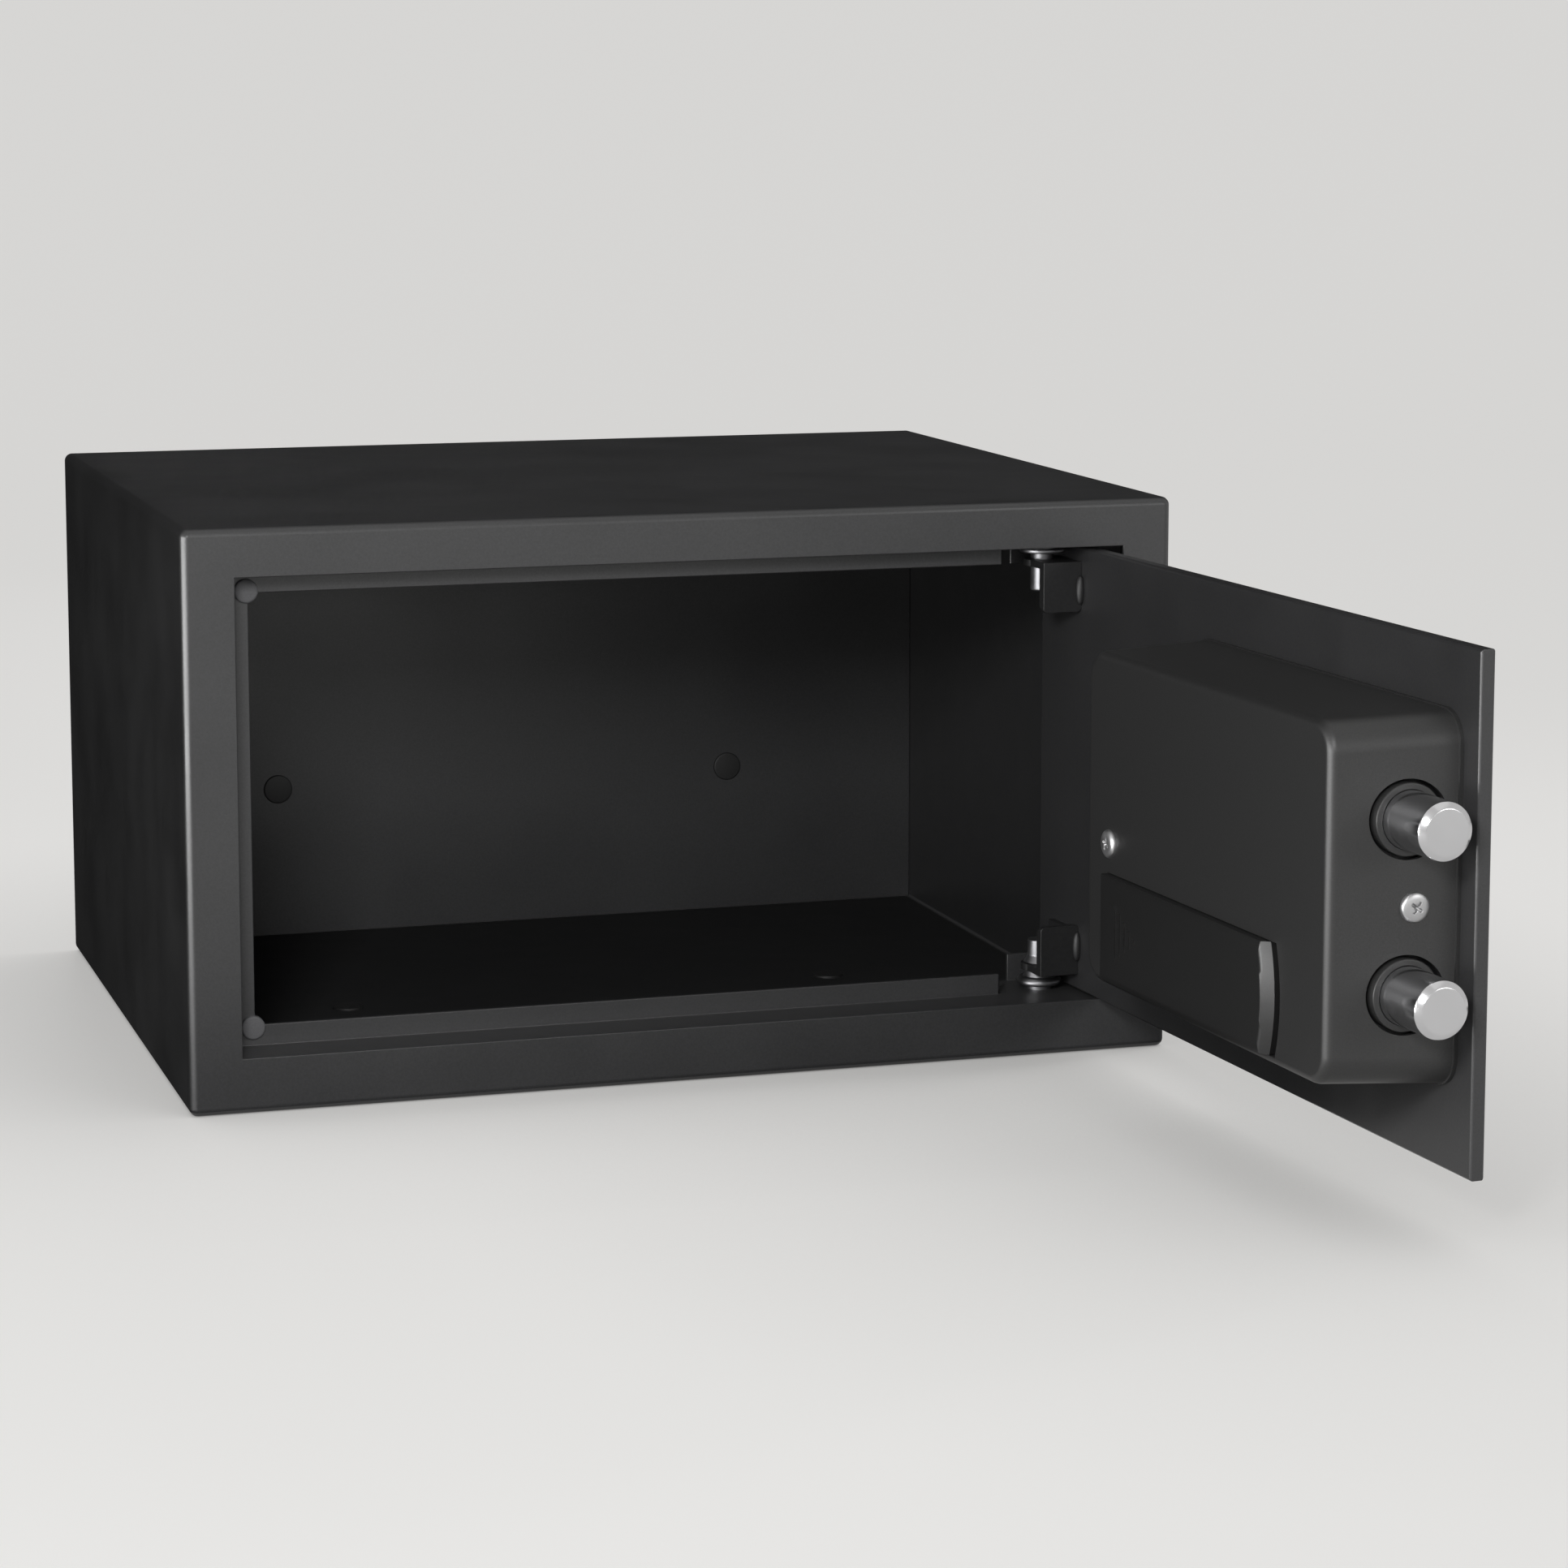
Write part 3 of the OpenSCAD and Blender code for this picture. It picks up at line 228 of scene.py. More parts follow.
def softened(name, nodes, material, width, join=False, segments=3):
    """A copy of CAD nodes as one piece, with its edges rounded by a bevel of the width in millimetres.

    The loose triangles are merged, flat areas become single faces, and the bevel's faces blend into
    the flats by weighted normals. With join the solids are first united.
    """
    meshes = []
    for node in nodes:
        shape = bmesh.new()
        shape.from_mesh(frame["nodes"][node].data)
        bmesh.ops.remove_doubles(shape, verts=shape.verts, dist=SEAM)
        mesh = bpy.data.meshes.new(name)
        shape.to_mesh(mesh)
        shape.free()
        meshes.append(mesh)
    if join:
        base = linked(name, meshes[0])
        for mesh in meshes[1:]:
            other = linked(name + "_part", mesh)
            union = base.modifiers.new("union", "BOOLEAN")
            union.operation = "UNION"
            union.solver = "EXACT"
            union.object = other
            bpy.context.view_layer.update()
            ready = base.evaluated_get(bpy.context.evaluated_depsgraph_get())
            joined = bpy.data.meshes.new_from_object(ready)
            base.modifiers.clear()
            base.data = joined
            bpy.data.objects.remove(other)
        meshes = [base.data]
        bpy.data.objects.remove(base)
    shape = bmesh.new()
    for mesh in meshes:
        shape.from_mesh(mesh)
    bmesh.ops.remove_doubles(shape, verts=shape.verts, dist=SEAM)
    bmesh.ops.dissolve_limit(shape, angle_limit=math.radians(FLAT), verts=shape.verts, edges=shape.edges)
    mesh = bpy.data.meshes.new(name)
    shape.to_mesh(mesh)
    shape.free()
    piece = finish_mesh(name, mesh, material, SHARP)
    bevel = piece.modifiers.new("edges", "BEVEL")
    bevel.width = width * MM
    bevel.segments = segments
    bevel.limit_method = "ANGLE"
    bevel.angle_limit = math.radians(SHARP)
    bevel.use_clamp_overlap = True
    piece.modifiers.new("normals", "WEIGHTED_NORMAL")
    return stand_for(piece, *nodes)


# Small helpers for materials

def srgb(code):
    """Linear colour of an sRGB hex code."""
    values = [int(code[i:i + 2], 16) / 255 for i in (1, 3, 5)]
    return tuple(v / 12.92 if v <= 0.04045 else ((v + 0.055) / 1.055) ** 2.4 for v in values) + (1.0,)


def add(tree, kind, settings=None, links=None):
    """Adds a node to a tree, sets its properties and sockets, and links outputs to its inputs."""
    made = tree.nodes.new(kind)
    for key, value in (settings or {}).items():
        if key in made.inputs:
            made.inputs[key].default_value = value
        else:
            setattr(made, key, value)
    for key, source in (links or {}).items():
        tree.links.new(source, made.inputs[key])
    return made


def bare_tree(data):
    """The node tree of a material or world, with no node in it."""
    data.use_nodes = True
    data.node_tree.nodes.clear()
    return data.node_tree


def new_material(name, base, roughness, metallic=0.0):
    """A material with its Principled shader, and the Object coordinates that its patterns read."""
    material = bpy.data.materials.new(name)
    tree = bare_tree(material)
    shader = add(tree, "ShaderNodeBsdfPrincipled", {"Base Color": srgb(base), "Roughness": roughness,
                                                    "Metallic": metallic, "IOR": 1.5})
    add(tree, "ShaderNodeOutputMaterial", links={"Surface": shader.outputs["BSDF"]})
    where = add(tree, "ShaderNodeTexCoord").outputs["Object"]
    return material, tree, shader, where


def noise(tree, where, size_mm, detail=2.0, roughness=0.5):
    """Noise whose features are about the size in millimetres."""
    return add(tree, "ShaderNodeTexNoise", {"Scale": 1.0 / (size_mm * MM), "Detail": detail,
                                            "Roughness": roughness}, {"Vector": where}).outputs["Fac"]


def spread(tree, value, to_low, to_high, low=0.3, high=0.7):
    """Maps a value to a range, held within its ends; most of a noise lies between 0.3 and 0.7."""
    return add(tree, "ShaderNodeMapRange", {"From Min": low, "From Max": high, "To Min": to_low,
                                            "To Max": to_high}, {"Value": value}).outputs["Result"]


def tinted(tree, shader, value, dark, light):
    """Colours the shader between two hex codes by a noise."""
    ramp = add(tree, "ShaderNodeValToRGB", links={"Fac": spread(tree, value, 0.0, 1.0)})
    ramp.color_ramp.elements[0].color = srgb(dark)
    ramp.color_ramp.elements[1].color = srgb(light)
    tree.links.new(ramp.outputs["Color"], shader.inputs["Base Color"])


def clouded(tree, shader, value, low, high):
    """Lets a noise carry the shader's roughness between two values."""
    tree.links.new(spread(tree, value, low, high), shader.inputs["Roughness"])


def bumped(tree, shader, height, depth_mm, strength):
    """Raises the surface by a height from 0 to 1 over the depth in millimetres."""
    settings = {"Strength": strength, "Distance": depth_mm * MM}
    bump = add(tree, "ShaderNodeBump", settings, {"Height": height})
    tree.links.new(bump.outputs["Normal"], shader.inputs["Normal"])


def powder_coat():
    """Polyester powder coat, fine texture, on steel sheet.

    The powder flows into a skin of small crests, so gloss breaks into grain and edges catch light.
    """
    material, tree, shader, where = new_material("charcoal_powder_coat", "#474748", 0.36)
    grain = noise(tree, where, 0.9, 3.0, 0.6)
    tinted(tree, shader, grain, "#434344", "#4b4b4c")
    clouded(tree, shader, noise(tree, where, 45.0), 0.32, 0.4)
    bumped(tree, shader, grain, 0.03, 0.6)
    return material


def plain_plastic(name, dark, light, roughness, grain_mm=0.6, depth_mm=0.02, strength=0.5):
    """A part of one colour, moulded, cast or dipped, with a faint grain."""
    material, tree, shader, where = new_material(name, dark, roughness)
    grain = noise(tree, where, grain_mm)
    tinted(tree, shader, grain, dark, light)
    bumped(tree, shader, grain, depth_mm, strength)
    return material


def moulded_abs(name, dark, light, roughness):
    """ABS moulded against a spark-eroded tool.

    The tool leaves an even fine matt grain, so the gloss is soft and the colour hardly changes.
    """
    return plain_plastic(name, dark, light, roughness, 0.55, 0.03, 0.6)


TURN = 0.35                  # width of the tool's turns on nickel-plated steel, mm
TURN_RUN = 8.0               # distance round the axis over which a turn stays even, mm


def nickel_plate(name, axis, base="#cfcfd1", roughness=0.18):
    """Bright nickel over turned steel.

    The tool's turns run round the axis, so highlights are drawn out a little across it.
    """
    material, tree, shader, where = new_material(name, base, roughness, 1.0)
    scale = tuple(1 / (TURN * MM) if k == axis else 1 / (TURN_RUN * MM) for k in "xyz")
    rings = add(tree, "ShaderNodeMapping", {"Scale": scale}, {"Vector": where})
    turns = add(tree, "ShaderNodeTexNoise", {"Scale": 1.0, "Detail": 2.0},
                {"Vector": rings.outputs["Vector"]})
    clouded(tree, shader, noise(tree, where, 6.0), roughness - 0.04, roughness + 0.06)
    bumped(tree, shader, turns.outputs["Fac"], 0.004, 0.1)
    return material


def zinc_plate():
    """Zinc-plated steel, passivated.

    The passivation dulls the metal and leaves faint cool and warm clouds.
    """
    material, tree, shader, where = new_material("zinc_plated_steel", "#a9abad", 0.36, 1.0)
    tinted(tree, shader, noise(tree, where, 9.0, 3.0), "#9fa3a8", "#b5b3ab")
    clouded(tree, shader, noise(tree, where, 1.2), 0.3, 0.44)
    return material


def clear_lens(name, tint):
    """Diffused epoxy lens of an indicator lamp, clear with a tint and a soft inside."""
    material, tree, shader, where = new_material(name, tint, 0.12)
    shader.inputs["Transmission Weight"].default_value = 0.35
    clouded(tree, shader, noise(tree, where, 2.0), 0.08, 0.16)
    return material


POWDER = powder_coat()

# Mouldings of the lock: the cover is charcoal, and the lid and the knob are a deeper black
COVER_ABS = moulded_abs("black_moulded_abs", "#333333", "#3b3b3b", 0.44)
LID_ABS = moulded_abs("black_moulded_abs_lid", "#1e1e1e", "#242424", 0.42)

# Plated metal: the bolts mirror the lamps and the screws are duller; the pins are the same plate made darker and
# duller, painted shade for the shade they hang in
NICKEL_BOLT = nickel_plate("nickel_plate_bolt", "y")
NICKEL_PAINTED_SHADE = nickel_plate("nickel_plate_painted_shade", "z", "#7c7c7e", 0.42)
NICKEL_SCREW = nickel_plate("nickel_plate_screw", "y", "#b4b4b5", 0.4)
ZINC = zinc_plate()

# Dark steel: the brackets near black with a soft gloss, painted shade standing in for the shade that falls on
# them, and a dull phosphate
BRACKET_PAINTED_SHADE = plain_plastic("bracket_painted_shade", "#1f1f20", "#262627", 0.5, 1.5)
BLACK_STEEL = plain_plastic("black_phosphated_steel", "#1d1d1e", "#262627", 0.55, 0.8)

# Soft plastics: nylon with a waxy sheen, and rubber and silicone that stay matt
NYLON = plain_plastic("grey_nylon", "#353535", "#3c3c3c", 0.45)
RUBBER = plain_plastic("grey_bumper_rubber", "#68686a", "#717173", 0.7)
PLUG_RUBBER = plain_plastic("black_plug_rubber", "#252525", "#2b2b2b", 0.55)
SILICONE = plain_plastic("grey_silicone", "#8d8e90", "#97989a", 0.5)

# Small parts: flat white print, dark smooth sleeves, green boards under lacquer, grey ribbon, clear lamps
INK = plain_plastic("white_pad_print", "#e4e4e2", "#eeeeec", 0.45)
JACKET = plain_plastic("cell_sleeve", "#26282c", "#2c2f34", 0.3, 8.0)
LAMINATE = plain_plastic("green_board_laminate", "#1d4a2c", "#235634", 0.35, 1.2)
RIBBON = plain_plastic("grey_ribbon_jacket", "#8f8f8f", "#9b9b9b", 0.5, 1.0)
LAMP = clear_lens("lamp_lens", "#cfd6cf")

# Pieces that keep the CAD's form, each with the width of its rounded edges in millimetres
softened("cabinet_sheet", ["body_shell", "door_jamb"], POWDER, 0.7, join=True)
softened("cabinet_back", ["back_panel"], POWDER, 0.35)
softened("tab_stiffeners", ["hinge_stiffeners"], POWDER, 0.3)
softened("door_slab", ["door_plate"], POWDER, 0.3)
# The brackets take the near-black painted shade, not a coat of their own
softened("hinge_bracket_low", ["hinge_bracket_lower"], BRACKET_PAINTED_SHADE, 0.9)
softened("hinge_bracket_high", ["hinge_bracket_upper"], BRACKET_PAINTED_SHADE, 0.9)
softened("lock_case", ["lock_cover"], COVER_ABS, 0.25, segments=2)
softened("battery_door", ["battery_lid"], LID_ABS, 0.5, segments=2)
softened("keypad_case", ["keypad_housing"], COVER_ABS, 0.3, segments=2)
softened("knob_handle", ["knob_grip"], LID_ABS, 0.22)


# Bolts, screws and hinge pins, each worked out in the door's shut place or the cabinet's own

BOLT_EDGE = (2.0, 2.3)       # edge break of a bolt along it and outwards, mm
BOLT_RIMS = (0.35, 0.45)     # softening of the edge break's two rims, mm
BOLT_TAIL = 25.0             # milled tail of a bolt, mm
BOLT_CUT = 9.0               # depth of its flat from the axis, mm
BUSH_SLACK = 0.08            # gap between a bush and its bolt, mm
BUSH_LIP = (1.8, 0.3)        # length of the bush's lip and its rise over the tube, mm
# Softening of the bush's corners, from its mouth through the bore to the lip and back, mm
BUSH_RIMS = (0.45, 0, 0.3, 0.2, 0, 0.7)


def turned_bolt(name, node):
    """A turned bolt: end face, broad edge break with softened rims, shank, and the tail's milled flat.

    The profile is revolved about the bolt's axis; past the tail's step all points are held behind
    the flat's plane.
    """
    lo, hi = shut_box(node)
    radius = (hi[2] - lo[2]) / 2
    length = hi[0] - lo[0]
    edge_l, edge_r = BOLT_EDGE[0] * MM, BOLT_EDGE[1] * MM
    step = length - BOLT_TAIL * MM
    profile = rounded([(0, 0), (0, radius - edge_r), (edge_l, radius), (step, radius)],
                      [rim * MM for rim in BOLT_RIMS], 6)
    tail = np.array([(step, radius), (length, radius), (length, 0)])
    centre = (lo[0], hi[1] - radius, (lo[2] + hi[2]) / 2)
    front, front_faces = revolved(np.concatenate([profile, tail]), centre, (1, 0, 0))
    flat = centre[1] - BOLT_CUT * MM
    past = front[:, 0] > lo[0] + step + SEAM
    front[past, 1] = np.maximum(front[past, 1], flat)
    return stand_for(make_object(name, [(opened(front), front_faces)], NICKEL_BOLT), node)


def bush_rings():
    """The two bushes: a tube round each bolt with a rounded mouth, and its lip behind the guide."""
    lo, hi = shut_box("bolt_bushes")
    lip_r = (hi[1] - lo[1]) / 2
    lip, rise = BUSH_LIP[0] * MM, BUSH_LIP[1] * MM
    outer = lip_r - rise
    y = (lo[1] + hi[1]) / 2
    shapes = []
    for node in ("bolt_upper", "bolt_lower"):
        bolt_lo, bolt_hi = shut_box(node)
        inner = (bolt_hi[2] - bolt_lo[2]) / 2 + BUSH_SLACK * MM
        length = hi[0] - lo[0]
        middle = (inner + outer) / 2
        corners = [(0, middle), (0, inner), (length, inner), (length, lip_r), (length - lip, lip_r),
                   (length - lip, outer), (0, outer), (0, middle)]
        ring = rounded(corners, [rim * MM for rim in BUSH_RIMS], 6)
        shapes.append(revolved(ring, (lo[0], y, (bolt_lo[2] + bolt_hi[2]) / 2), (1, 0, 0)))
    return stand_for(make_object("bush_rings", all_opened(shapes), NYLON), "bolt_bushes")


HEAD_HEIGHT = 2.6            # height of a screw's head, mm
HEAD_RIM = 1.1               # spread of the head over its CAD disc, mm
HEAD_SEAT = 0.2              # depth to which the head sits in the cover, mm
HEAD_BAND = 3.5              # depth of the band that holds the points of a head, mm
HEAD_TURNS = (0.35, 0.6)     # turn of the cross of the front and of the side screw, radians
SHANK = (2.0, 8.0)           # radius and length of the shank, mm
SLOT_HALF = 0.62             # half width of a slot of the cross, mm
SLOT_REACH = 2.6             # half length of a slot, mm
SLOT_WALLS = (0.3, 0.5)      # run of a slot's side walls and of its end walls, mm
SLOT_DEPTH = 1.0             # depth of a slot, mm
CONE = (1.4, 0.5)            # radius in mm and slope of the cone in the middle of the cross


def smooth_step(x):
    """0 below 0, 1 above 1 and 3x^2 - 2x^3 between."""
    x = np.clip(x, 0, 1)
    return x * x * (3 - 2 * x)


def slot_depth(across, run):
    """Share of a slot's depth at a distance across it and a distance along it from its middle."""
    side, end = SLOT_WALLS
    return (smooth_step((SLOT_HALF * MM - across) / (side * MM))
            * smooth_step((SLOT_REACH * MM - run) / (end * MM)))


def pan_head(radius, height, turn):
    """Local points and faces of a pan-head screw with a cross recess.

    The head's skin is out = R sqrt(sin t), up = H sqrt(cos t), lowered inside the two crossed slots by
    a smooth step across each slot's walls and ends. The shank is a closed tube under it.
    """
    t = np.linspace(0, np.pi / 2, 44)[:, None]
    angle = np.linspace(0, 2 * np.pi, 120, endpoint=False)[None, :]
    out = radius * np.sqrt(np.sin(t))
    u = out * np.cos(angle)
    v = out * np.sin(angle)
    skin = height * np.sqrt(np.cos(t)) + 0 * angle
    c, s = math.cos(turn), math.sin(turn)
    a, b = np.abs(u * c + v * s), np.abs(v * c - u * s)
    slot = np.maximum(slot_depth(b, a), slot_depth(a, b))
    cone = np.clip(CONE[0] * MM - np.hypot(a, b), 0, None) * CONE[1]
    skin = skin - slot * SLOT_DEPTH * MM - cone
    top = np.stack([u, v, skin], -1)
    rim = np.stack([u[-1], v[-1], 0 * u[-1] - HEAD_SEAT * MM], -1)[None]
    base = np.zeros_like(rim)
    base[..., 2] = -HEAD_SEAT * MM
    local = np.concatenate([top, rim, base]).reshape(-1, 3)
    head = merge_points(local, grid_faces(len(t) + 2, angle.size))
    shank_r, shank = SHANK[0] * MM, SHANK[1] * MM
    stem = revolved([(-shank, 0), (-shank, shank_r), (0, shank_r), (0, 0)], (0, 0, 0), (0, 0, 1), 32)
    return head, stem


def cover_cross_screws():
    """The front and side screws of the lock cover, each where its CAD head is."""
    points = shut(node_points("cover_screws"))
    lo, hi = points.min(0), points.max(0)
    front = points[points[:, 1] > hi[1] - HEAD_BAND * MM]
    side = points[points[:, 0] < lo[0] + HEAD_BAND * MM]
    head_h = HEAD_HEIGHT * MM
    shapes = []
    for group, axis, turn in ((front, 1, HEAD_TURNS[0]), (side, 0, HEAD_TURNS[1])):
        centre = (group.min(0) + group.max(0)) / 2
        radius = (group[:, 2].max() - group[:, 2].min()) / 2 + HEAD_RIM * MM
        direction = np.zeros(3)
        direction[axis] = 1 if axis == 1 else -1
        centre[axis] = hi[1] - head_h if axis == 1 else lo[0] + head_h
        for local, faces in pan_head(radius, head_h, turn):
            shapes.append((opened(along(local, centre, direction)), faces))
    return stand_for(make_object("cover_cross_screws", shapes, NICKEL_SCREW), "cover_screws")


BUMPER_SHOULDER = (0.8, 1.1)     # share of the height where the shoulder starts, and its radius in mm


def stop_bumpers():
    """The two bumpers on the stop: low discs with rounded shoulders and a shallow crown."""
    points = node_points("corner_bumpers")
    lo, hi = points.min(0), points.max(0)
    radius = (hi[0] - lo[0]) / 2
    height = hi[1] - lo[1]
    share, shoulder = BUMPER_SHOULDER
    disc = rounded([(0, 0), (0, radius), (height * share, radius), (height, 0)], (0, shoulder * MM), 8)
    x = (lo[0] + hi[0]) / 2
    shapes = [revolved(disc, (x, hi[1], z), (0, -1, 0)) for z in (lo[2] + radius, hi[2] - radius)]
    return stand_for(make_object("stop_bumpers", shapes, RUBBER), "corner_bumpers")


PIN = 5.0                    # radius of a hinge pin, mm
PIN_IN_TAB = 2.0             # length of a pin inside its tab, mm
PIN_FOOT = 1.7               # height of the lower pin's foot, mm
PIN_DISH = 4.0               # height of its dish-shaped flange, mm
PIN_NECK = 2.5               # height of its tapered neck, from inside the dish, mm
PIN_TO_FLARE = 6.1           # height from the dish to the flare over the bracket's ear, mm
PIN_FLARE = (3.0, 1.8)       # height of the flare and its rise over the pin, mm
PIN_COLLAR = (3.0, 2.0)      # height of the upper pin's collar and its rise over the pin, mm
PIN_FLANGE = 2.0             # thickness of the upper pin's flange, mm


def hinge_pins():
    """The two pins with softened rims.

    The lower one has a foot, a dish-shaped flange, a tapered neck and the flare that holds the ear
    down; the upper one hangs on a collar above its flange.
    """
    low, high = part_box("hinge_pin_lower"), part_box("hinge_pin_upper")
    flange = (low[1][0] - low[0][0]) / 2 / MM
    length = (low[1][2] - low[0][2]) / MM
    x, y = HINGE[0], HINGE[1]
    foot = PIN_IN_TAB + PIN_FOOT
    dish = foot + PIN_DISH
    neck = dish + PIN_NECK
    ear = dish + PIN_TO_FLARE
    flare, flare_rise = PIN_FLARE
    # Each row: height, radius and how far the corner is rounded
    lower = [(0, 0, 0), (0, PIN, 0.2), (PIN_IN_TAB, PIN, 0), (PIN_IN_TAB, PIN + 1, 0),
             (foot, PIN + 1, 0.2), (foot, PIN + 3, 0.3), (foot + 0.6, flange - 0.2, 0.6),
             (dish - 1.8, flange, 1.2), (dish, flange - 1.5, 0.9), (dish - 0.5, PIN + 2, 0.5),
             (neck, PIN + 1, 0.5), (neck, PIN, 0.3), (ear, PIN, 0), (ear, PIN + flare_rise, 0),
             (ear + flare, PIN, 0.5), (length, PIN, 1.0), (length, 0, 0)]
    length = (high[1][2] - high[0][2]) / MM
    rise = PIN + PIN_COLLAR[1]
    collar = PIN_IN_TAB + PIN_COLLAR[0]
    under = collar + PIN_FLANGE
    upper = [(0, 0, 0), (0, PIN, 0.2), (PIN_IN_TAB, PIN, 0), (PIN_IN_TAB, rise, 0.3),
             (collar, rise, 0.1), (collar, flange, 0.8), (under, flange, 0.8), (under, PIN, 0.3),
             (length, PIN, 1.2), (length, 0, 0)]
    for name, node, rows, z, way in (("hinge_pin_low", "hinge_pin_lower", lower, low[0][2], 1),
                                     ("hinge_pin_high", "hinge_pin_upper", upper, high[1][2], -1)):
        profile = rounded([row[:2] for row in rows], [row[2] for row in rows[1:-1]], 7) * MM
        stand_for(make_object(name, [revolved(profile, (x, y, z), (0, 0, way))], NICKEL_PAINTED_SHADE), node)


WELD_HALF = 6.5              # half length of a weld bead, mm
WELD_RADIUS = 2.0            # radius of a bead at its middle, mm
WELD_SHIFT = 1.5             # shift of a bead from its bracket's middle, towards the opening's, mm
WELD_SEAT = (-0.6, 0.9)      # place of a bead's axis from the bracket's corner, sideways and inwards, mm


def bracket_welds():
    """A dark weld bead up each bracket where its web meets the door.

    The bead is a ball drawn out along its run: out = r (1 - s^2)^(1/2) for s from -1 to 1.
    """
    shapes = []
    for node, way in (("hinge_bracket_lower", 1), ("hinge_bracket_upper", -1)):
        lo, hi = shut_box(node)
        mid = (lo[2] + hi[2]) / 2 + WELD_SHIFT * MM * way
        s = np.linspace(-1, 1, 61)
        out = WELD_RADIUS * MM * np.sqrt(1 - s ** 2)
        out[0] = out[-1] = 0
        profile = np.stack([s * (WELD_HALF * MM), out], -1)
        place = (lo[0] + WELD_SEAT[0] * MM, lo[1] + WELD_SEAT[1] * MM, mid)
        shapes.append(revolved(profile, place, (0, 0, 1), 24))
    piece = make_object("bracket_welds", all_opened(shapes), BLACK_STEEL)
    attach(piece, "door")


PLUG_HOLE = 5.0              # radius of the fixing holes that the plugs close, mm
PLUGS_APART = 230.0          # distance between two holes, mm
PLUGS_UP = 75.0              # height of the holes in the back, mm
PLUG_SLACK = 0.1             # gap between a plug's stem and its hole, mm
PLUG_CAP = (2.0, 1.2, 1.5)   # the cap's spread past the hole, its height at the rim and the middle, mm


def hole_plugs():
    """Plugs that close the four fixing holes: a stem through the sheet and a low domed cap inside."""
    cabinet = node_points("body_shell")
    lo, hi = cabinet.min(0), cabinet.max(0)
    back = node_points("back_panel")
    sheet = back[:, 1].max() - back[:, 1].min()
    deep, stem = -sheet / MM, PLUG_HOLE - PLUG_SLACK
    spread_out, rim, middle = PLUG_CAP
    brim = PLUG_HOLE + spread_out
    cap = rounded([(deep, 0), (deep, stem), (0, stem), (0, brim), (rim, brim), (middle, 0)],
                  (0.3, 0, 0, 0.8), 6) * MM
    shapes = []
    for side in (-0.5, 0.5):
        x = (lo[0] + hi[0]) / 2 + side * PLUGS_APART * MM
        shapes.append(revolved(cap, (x, back[:, 1].min(), lo[2] + PLUGS_UP * MM), (0, -1, 0), 64))
        shapes.append(revolved(cap, (x, (lo[1] + hi[1]) / 2, lo[2] + sheet), (0, 0, 1), 64))
    piece = make_object("hole_plugs", shapes, PLUG_RUBBER)
    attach(piece, BODY_OF["body_shell"])


# Keypad

CAP_RADIUS = 2.5             # corner radius of a button, mm
CAP_CROWN = 0.35             # rise of a button's crown over its rim, mm
CAP_LIP = 0.7                # width of the flange round a button, mm
CAP_SKIRT = 0.8              # height of that flange, mm
CAP_SHOULDER = 0.9           # radius of the shoulder between skirt and face, mm
CAP_RINGS = (0.8, 0.6, 0.4, 0.2, 0.0)     # shares of the face's outline in the rings of its crown
SIGN_SIZE = 7.0              # size of the sign's letters, mm
SIGN_THICK = 0.02            # half the thickness of the print, mm
SIGN_BOLD = 0.12             # widening of its strokes, mm
SIGN_RISE = 0.03             # rise of the print's middle over the crown, mm
SIGN_STEP = 0.9              # distance between the cuts in the print's mesh, mm
LAMP_DOME = (0.4, 1.0)       # height of a lamp's dome and the radius of its shoulder, mm
LAMP_COUNT = 3               # number of lamps in their row


def cap_height(u, v, half_u, half_v):
    """Rise of a crowned cap above its rim: (1 - u^2)(1 - v^2) over its half sizes."""
    return CAP_CROWN * MM * np.clip(1 - (u / half_u) ** 2, 0, 1) * np.clip(1 - (v / half_v) ** 2, 0, 1)


def pillow_button(node, sign):
    """A moulded button: flange, straight skirt, rounded shoulder and crowned face, with its sign on it.

    Its outline is a rounded rectangle; each ring of the mesh is that outline drawn in by an inset and
    set at a depth, and the rings inside the shoulder shrink to the middle along the crown.
    """
    lo, hi = shut_box(node)
    lip, skirt = CAP_LIP * MM, CAP_SKIRT * MM
    half = np.array([hi[0] - lo[0], hi[2] - lo[2]]) / 2 - lip
    mid = np.array([lo[0] + hi[0], lo[2] + hi[2]]) / 2
    face = lo[1] + CAP_CROWN * MM
    shoulder = CAP_SHOULDER * MM
    bend = np.linspace(0, np.pi / 2, 7)
    rings = [(-lip, hi[1]), (-lip, hi[1] - skirt), (0, hi[1] - skirt), (0, face + shoulder)]
    rings += [(shoulder * (1 - math.cos(a)), face + shoulder * (1 - math.sin(a))) for a in bend[1:]]
    corner = np.linspace(0, np.pi / 2, 7)
    angle = np.concatenate([corner + k * np.pi / 2 for k in range(4)])
    way = np.stack([np.cos(angle), np.sin(angle)], -1)
    sides = np.repeat(np.array([(1, 1), (-1, 1), (-1, -1), (1, -1)]), len(corner), axis=0)
    layers = []
    for inset, depth in rings:
        radius = max(CAP_RADIUS * MM - inset, 0.3 * MM)
        flat = sides * (half - inset - radius) + way * radius
        layers.append(np.column_stack([flat[:, 0], np.full(len(flat), depth), flat[:, 1]]))
    inner = half - shoulder
    edge = layers[-1][:, [0, 2]]
    for share in CAP_RINGS:
        flat = edge * share
        rise = cap_height(flat[:, 0], flat[:, 1], *inner)
        layers.append(np.column_stack([flat[:, 0], face - rise, flat[:, 1]]))
    back = np.zeros_like(layers[0])
    back[:, 1] = hi[1]
    local = np.concatenate([back] + layers)
    local[:, 0] += mid[0]
    local[:, 2] += mid[1]
    points, faces = merge_points(local, grid_faces(len(layers) + 1, len(angle)))
    cap = make_object(node + "_cap", [(opened(points), faces)], SILICONE)
    stand_for(cap, node)
    print_sign(node + "_sign", node, sign, mid, face, inner)


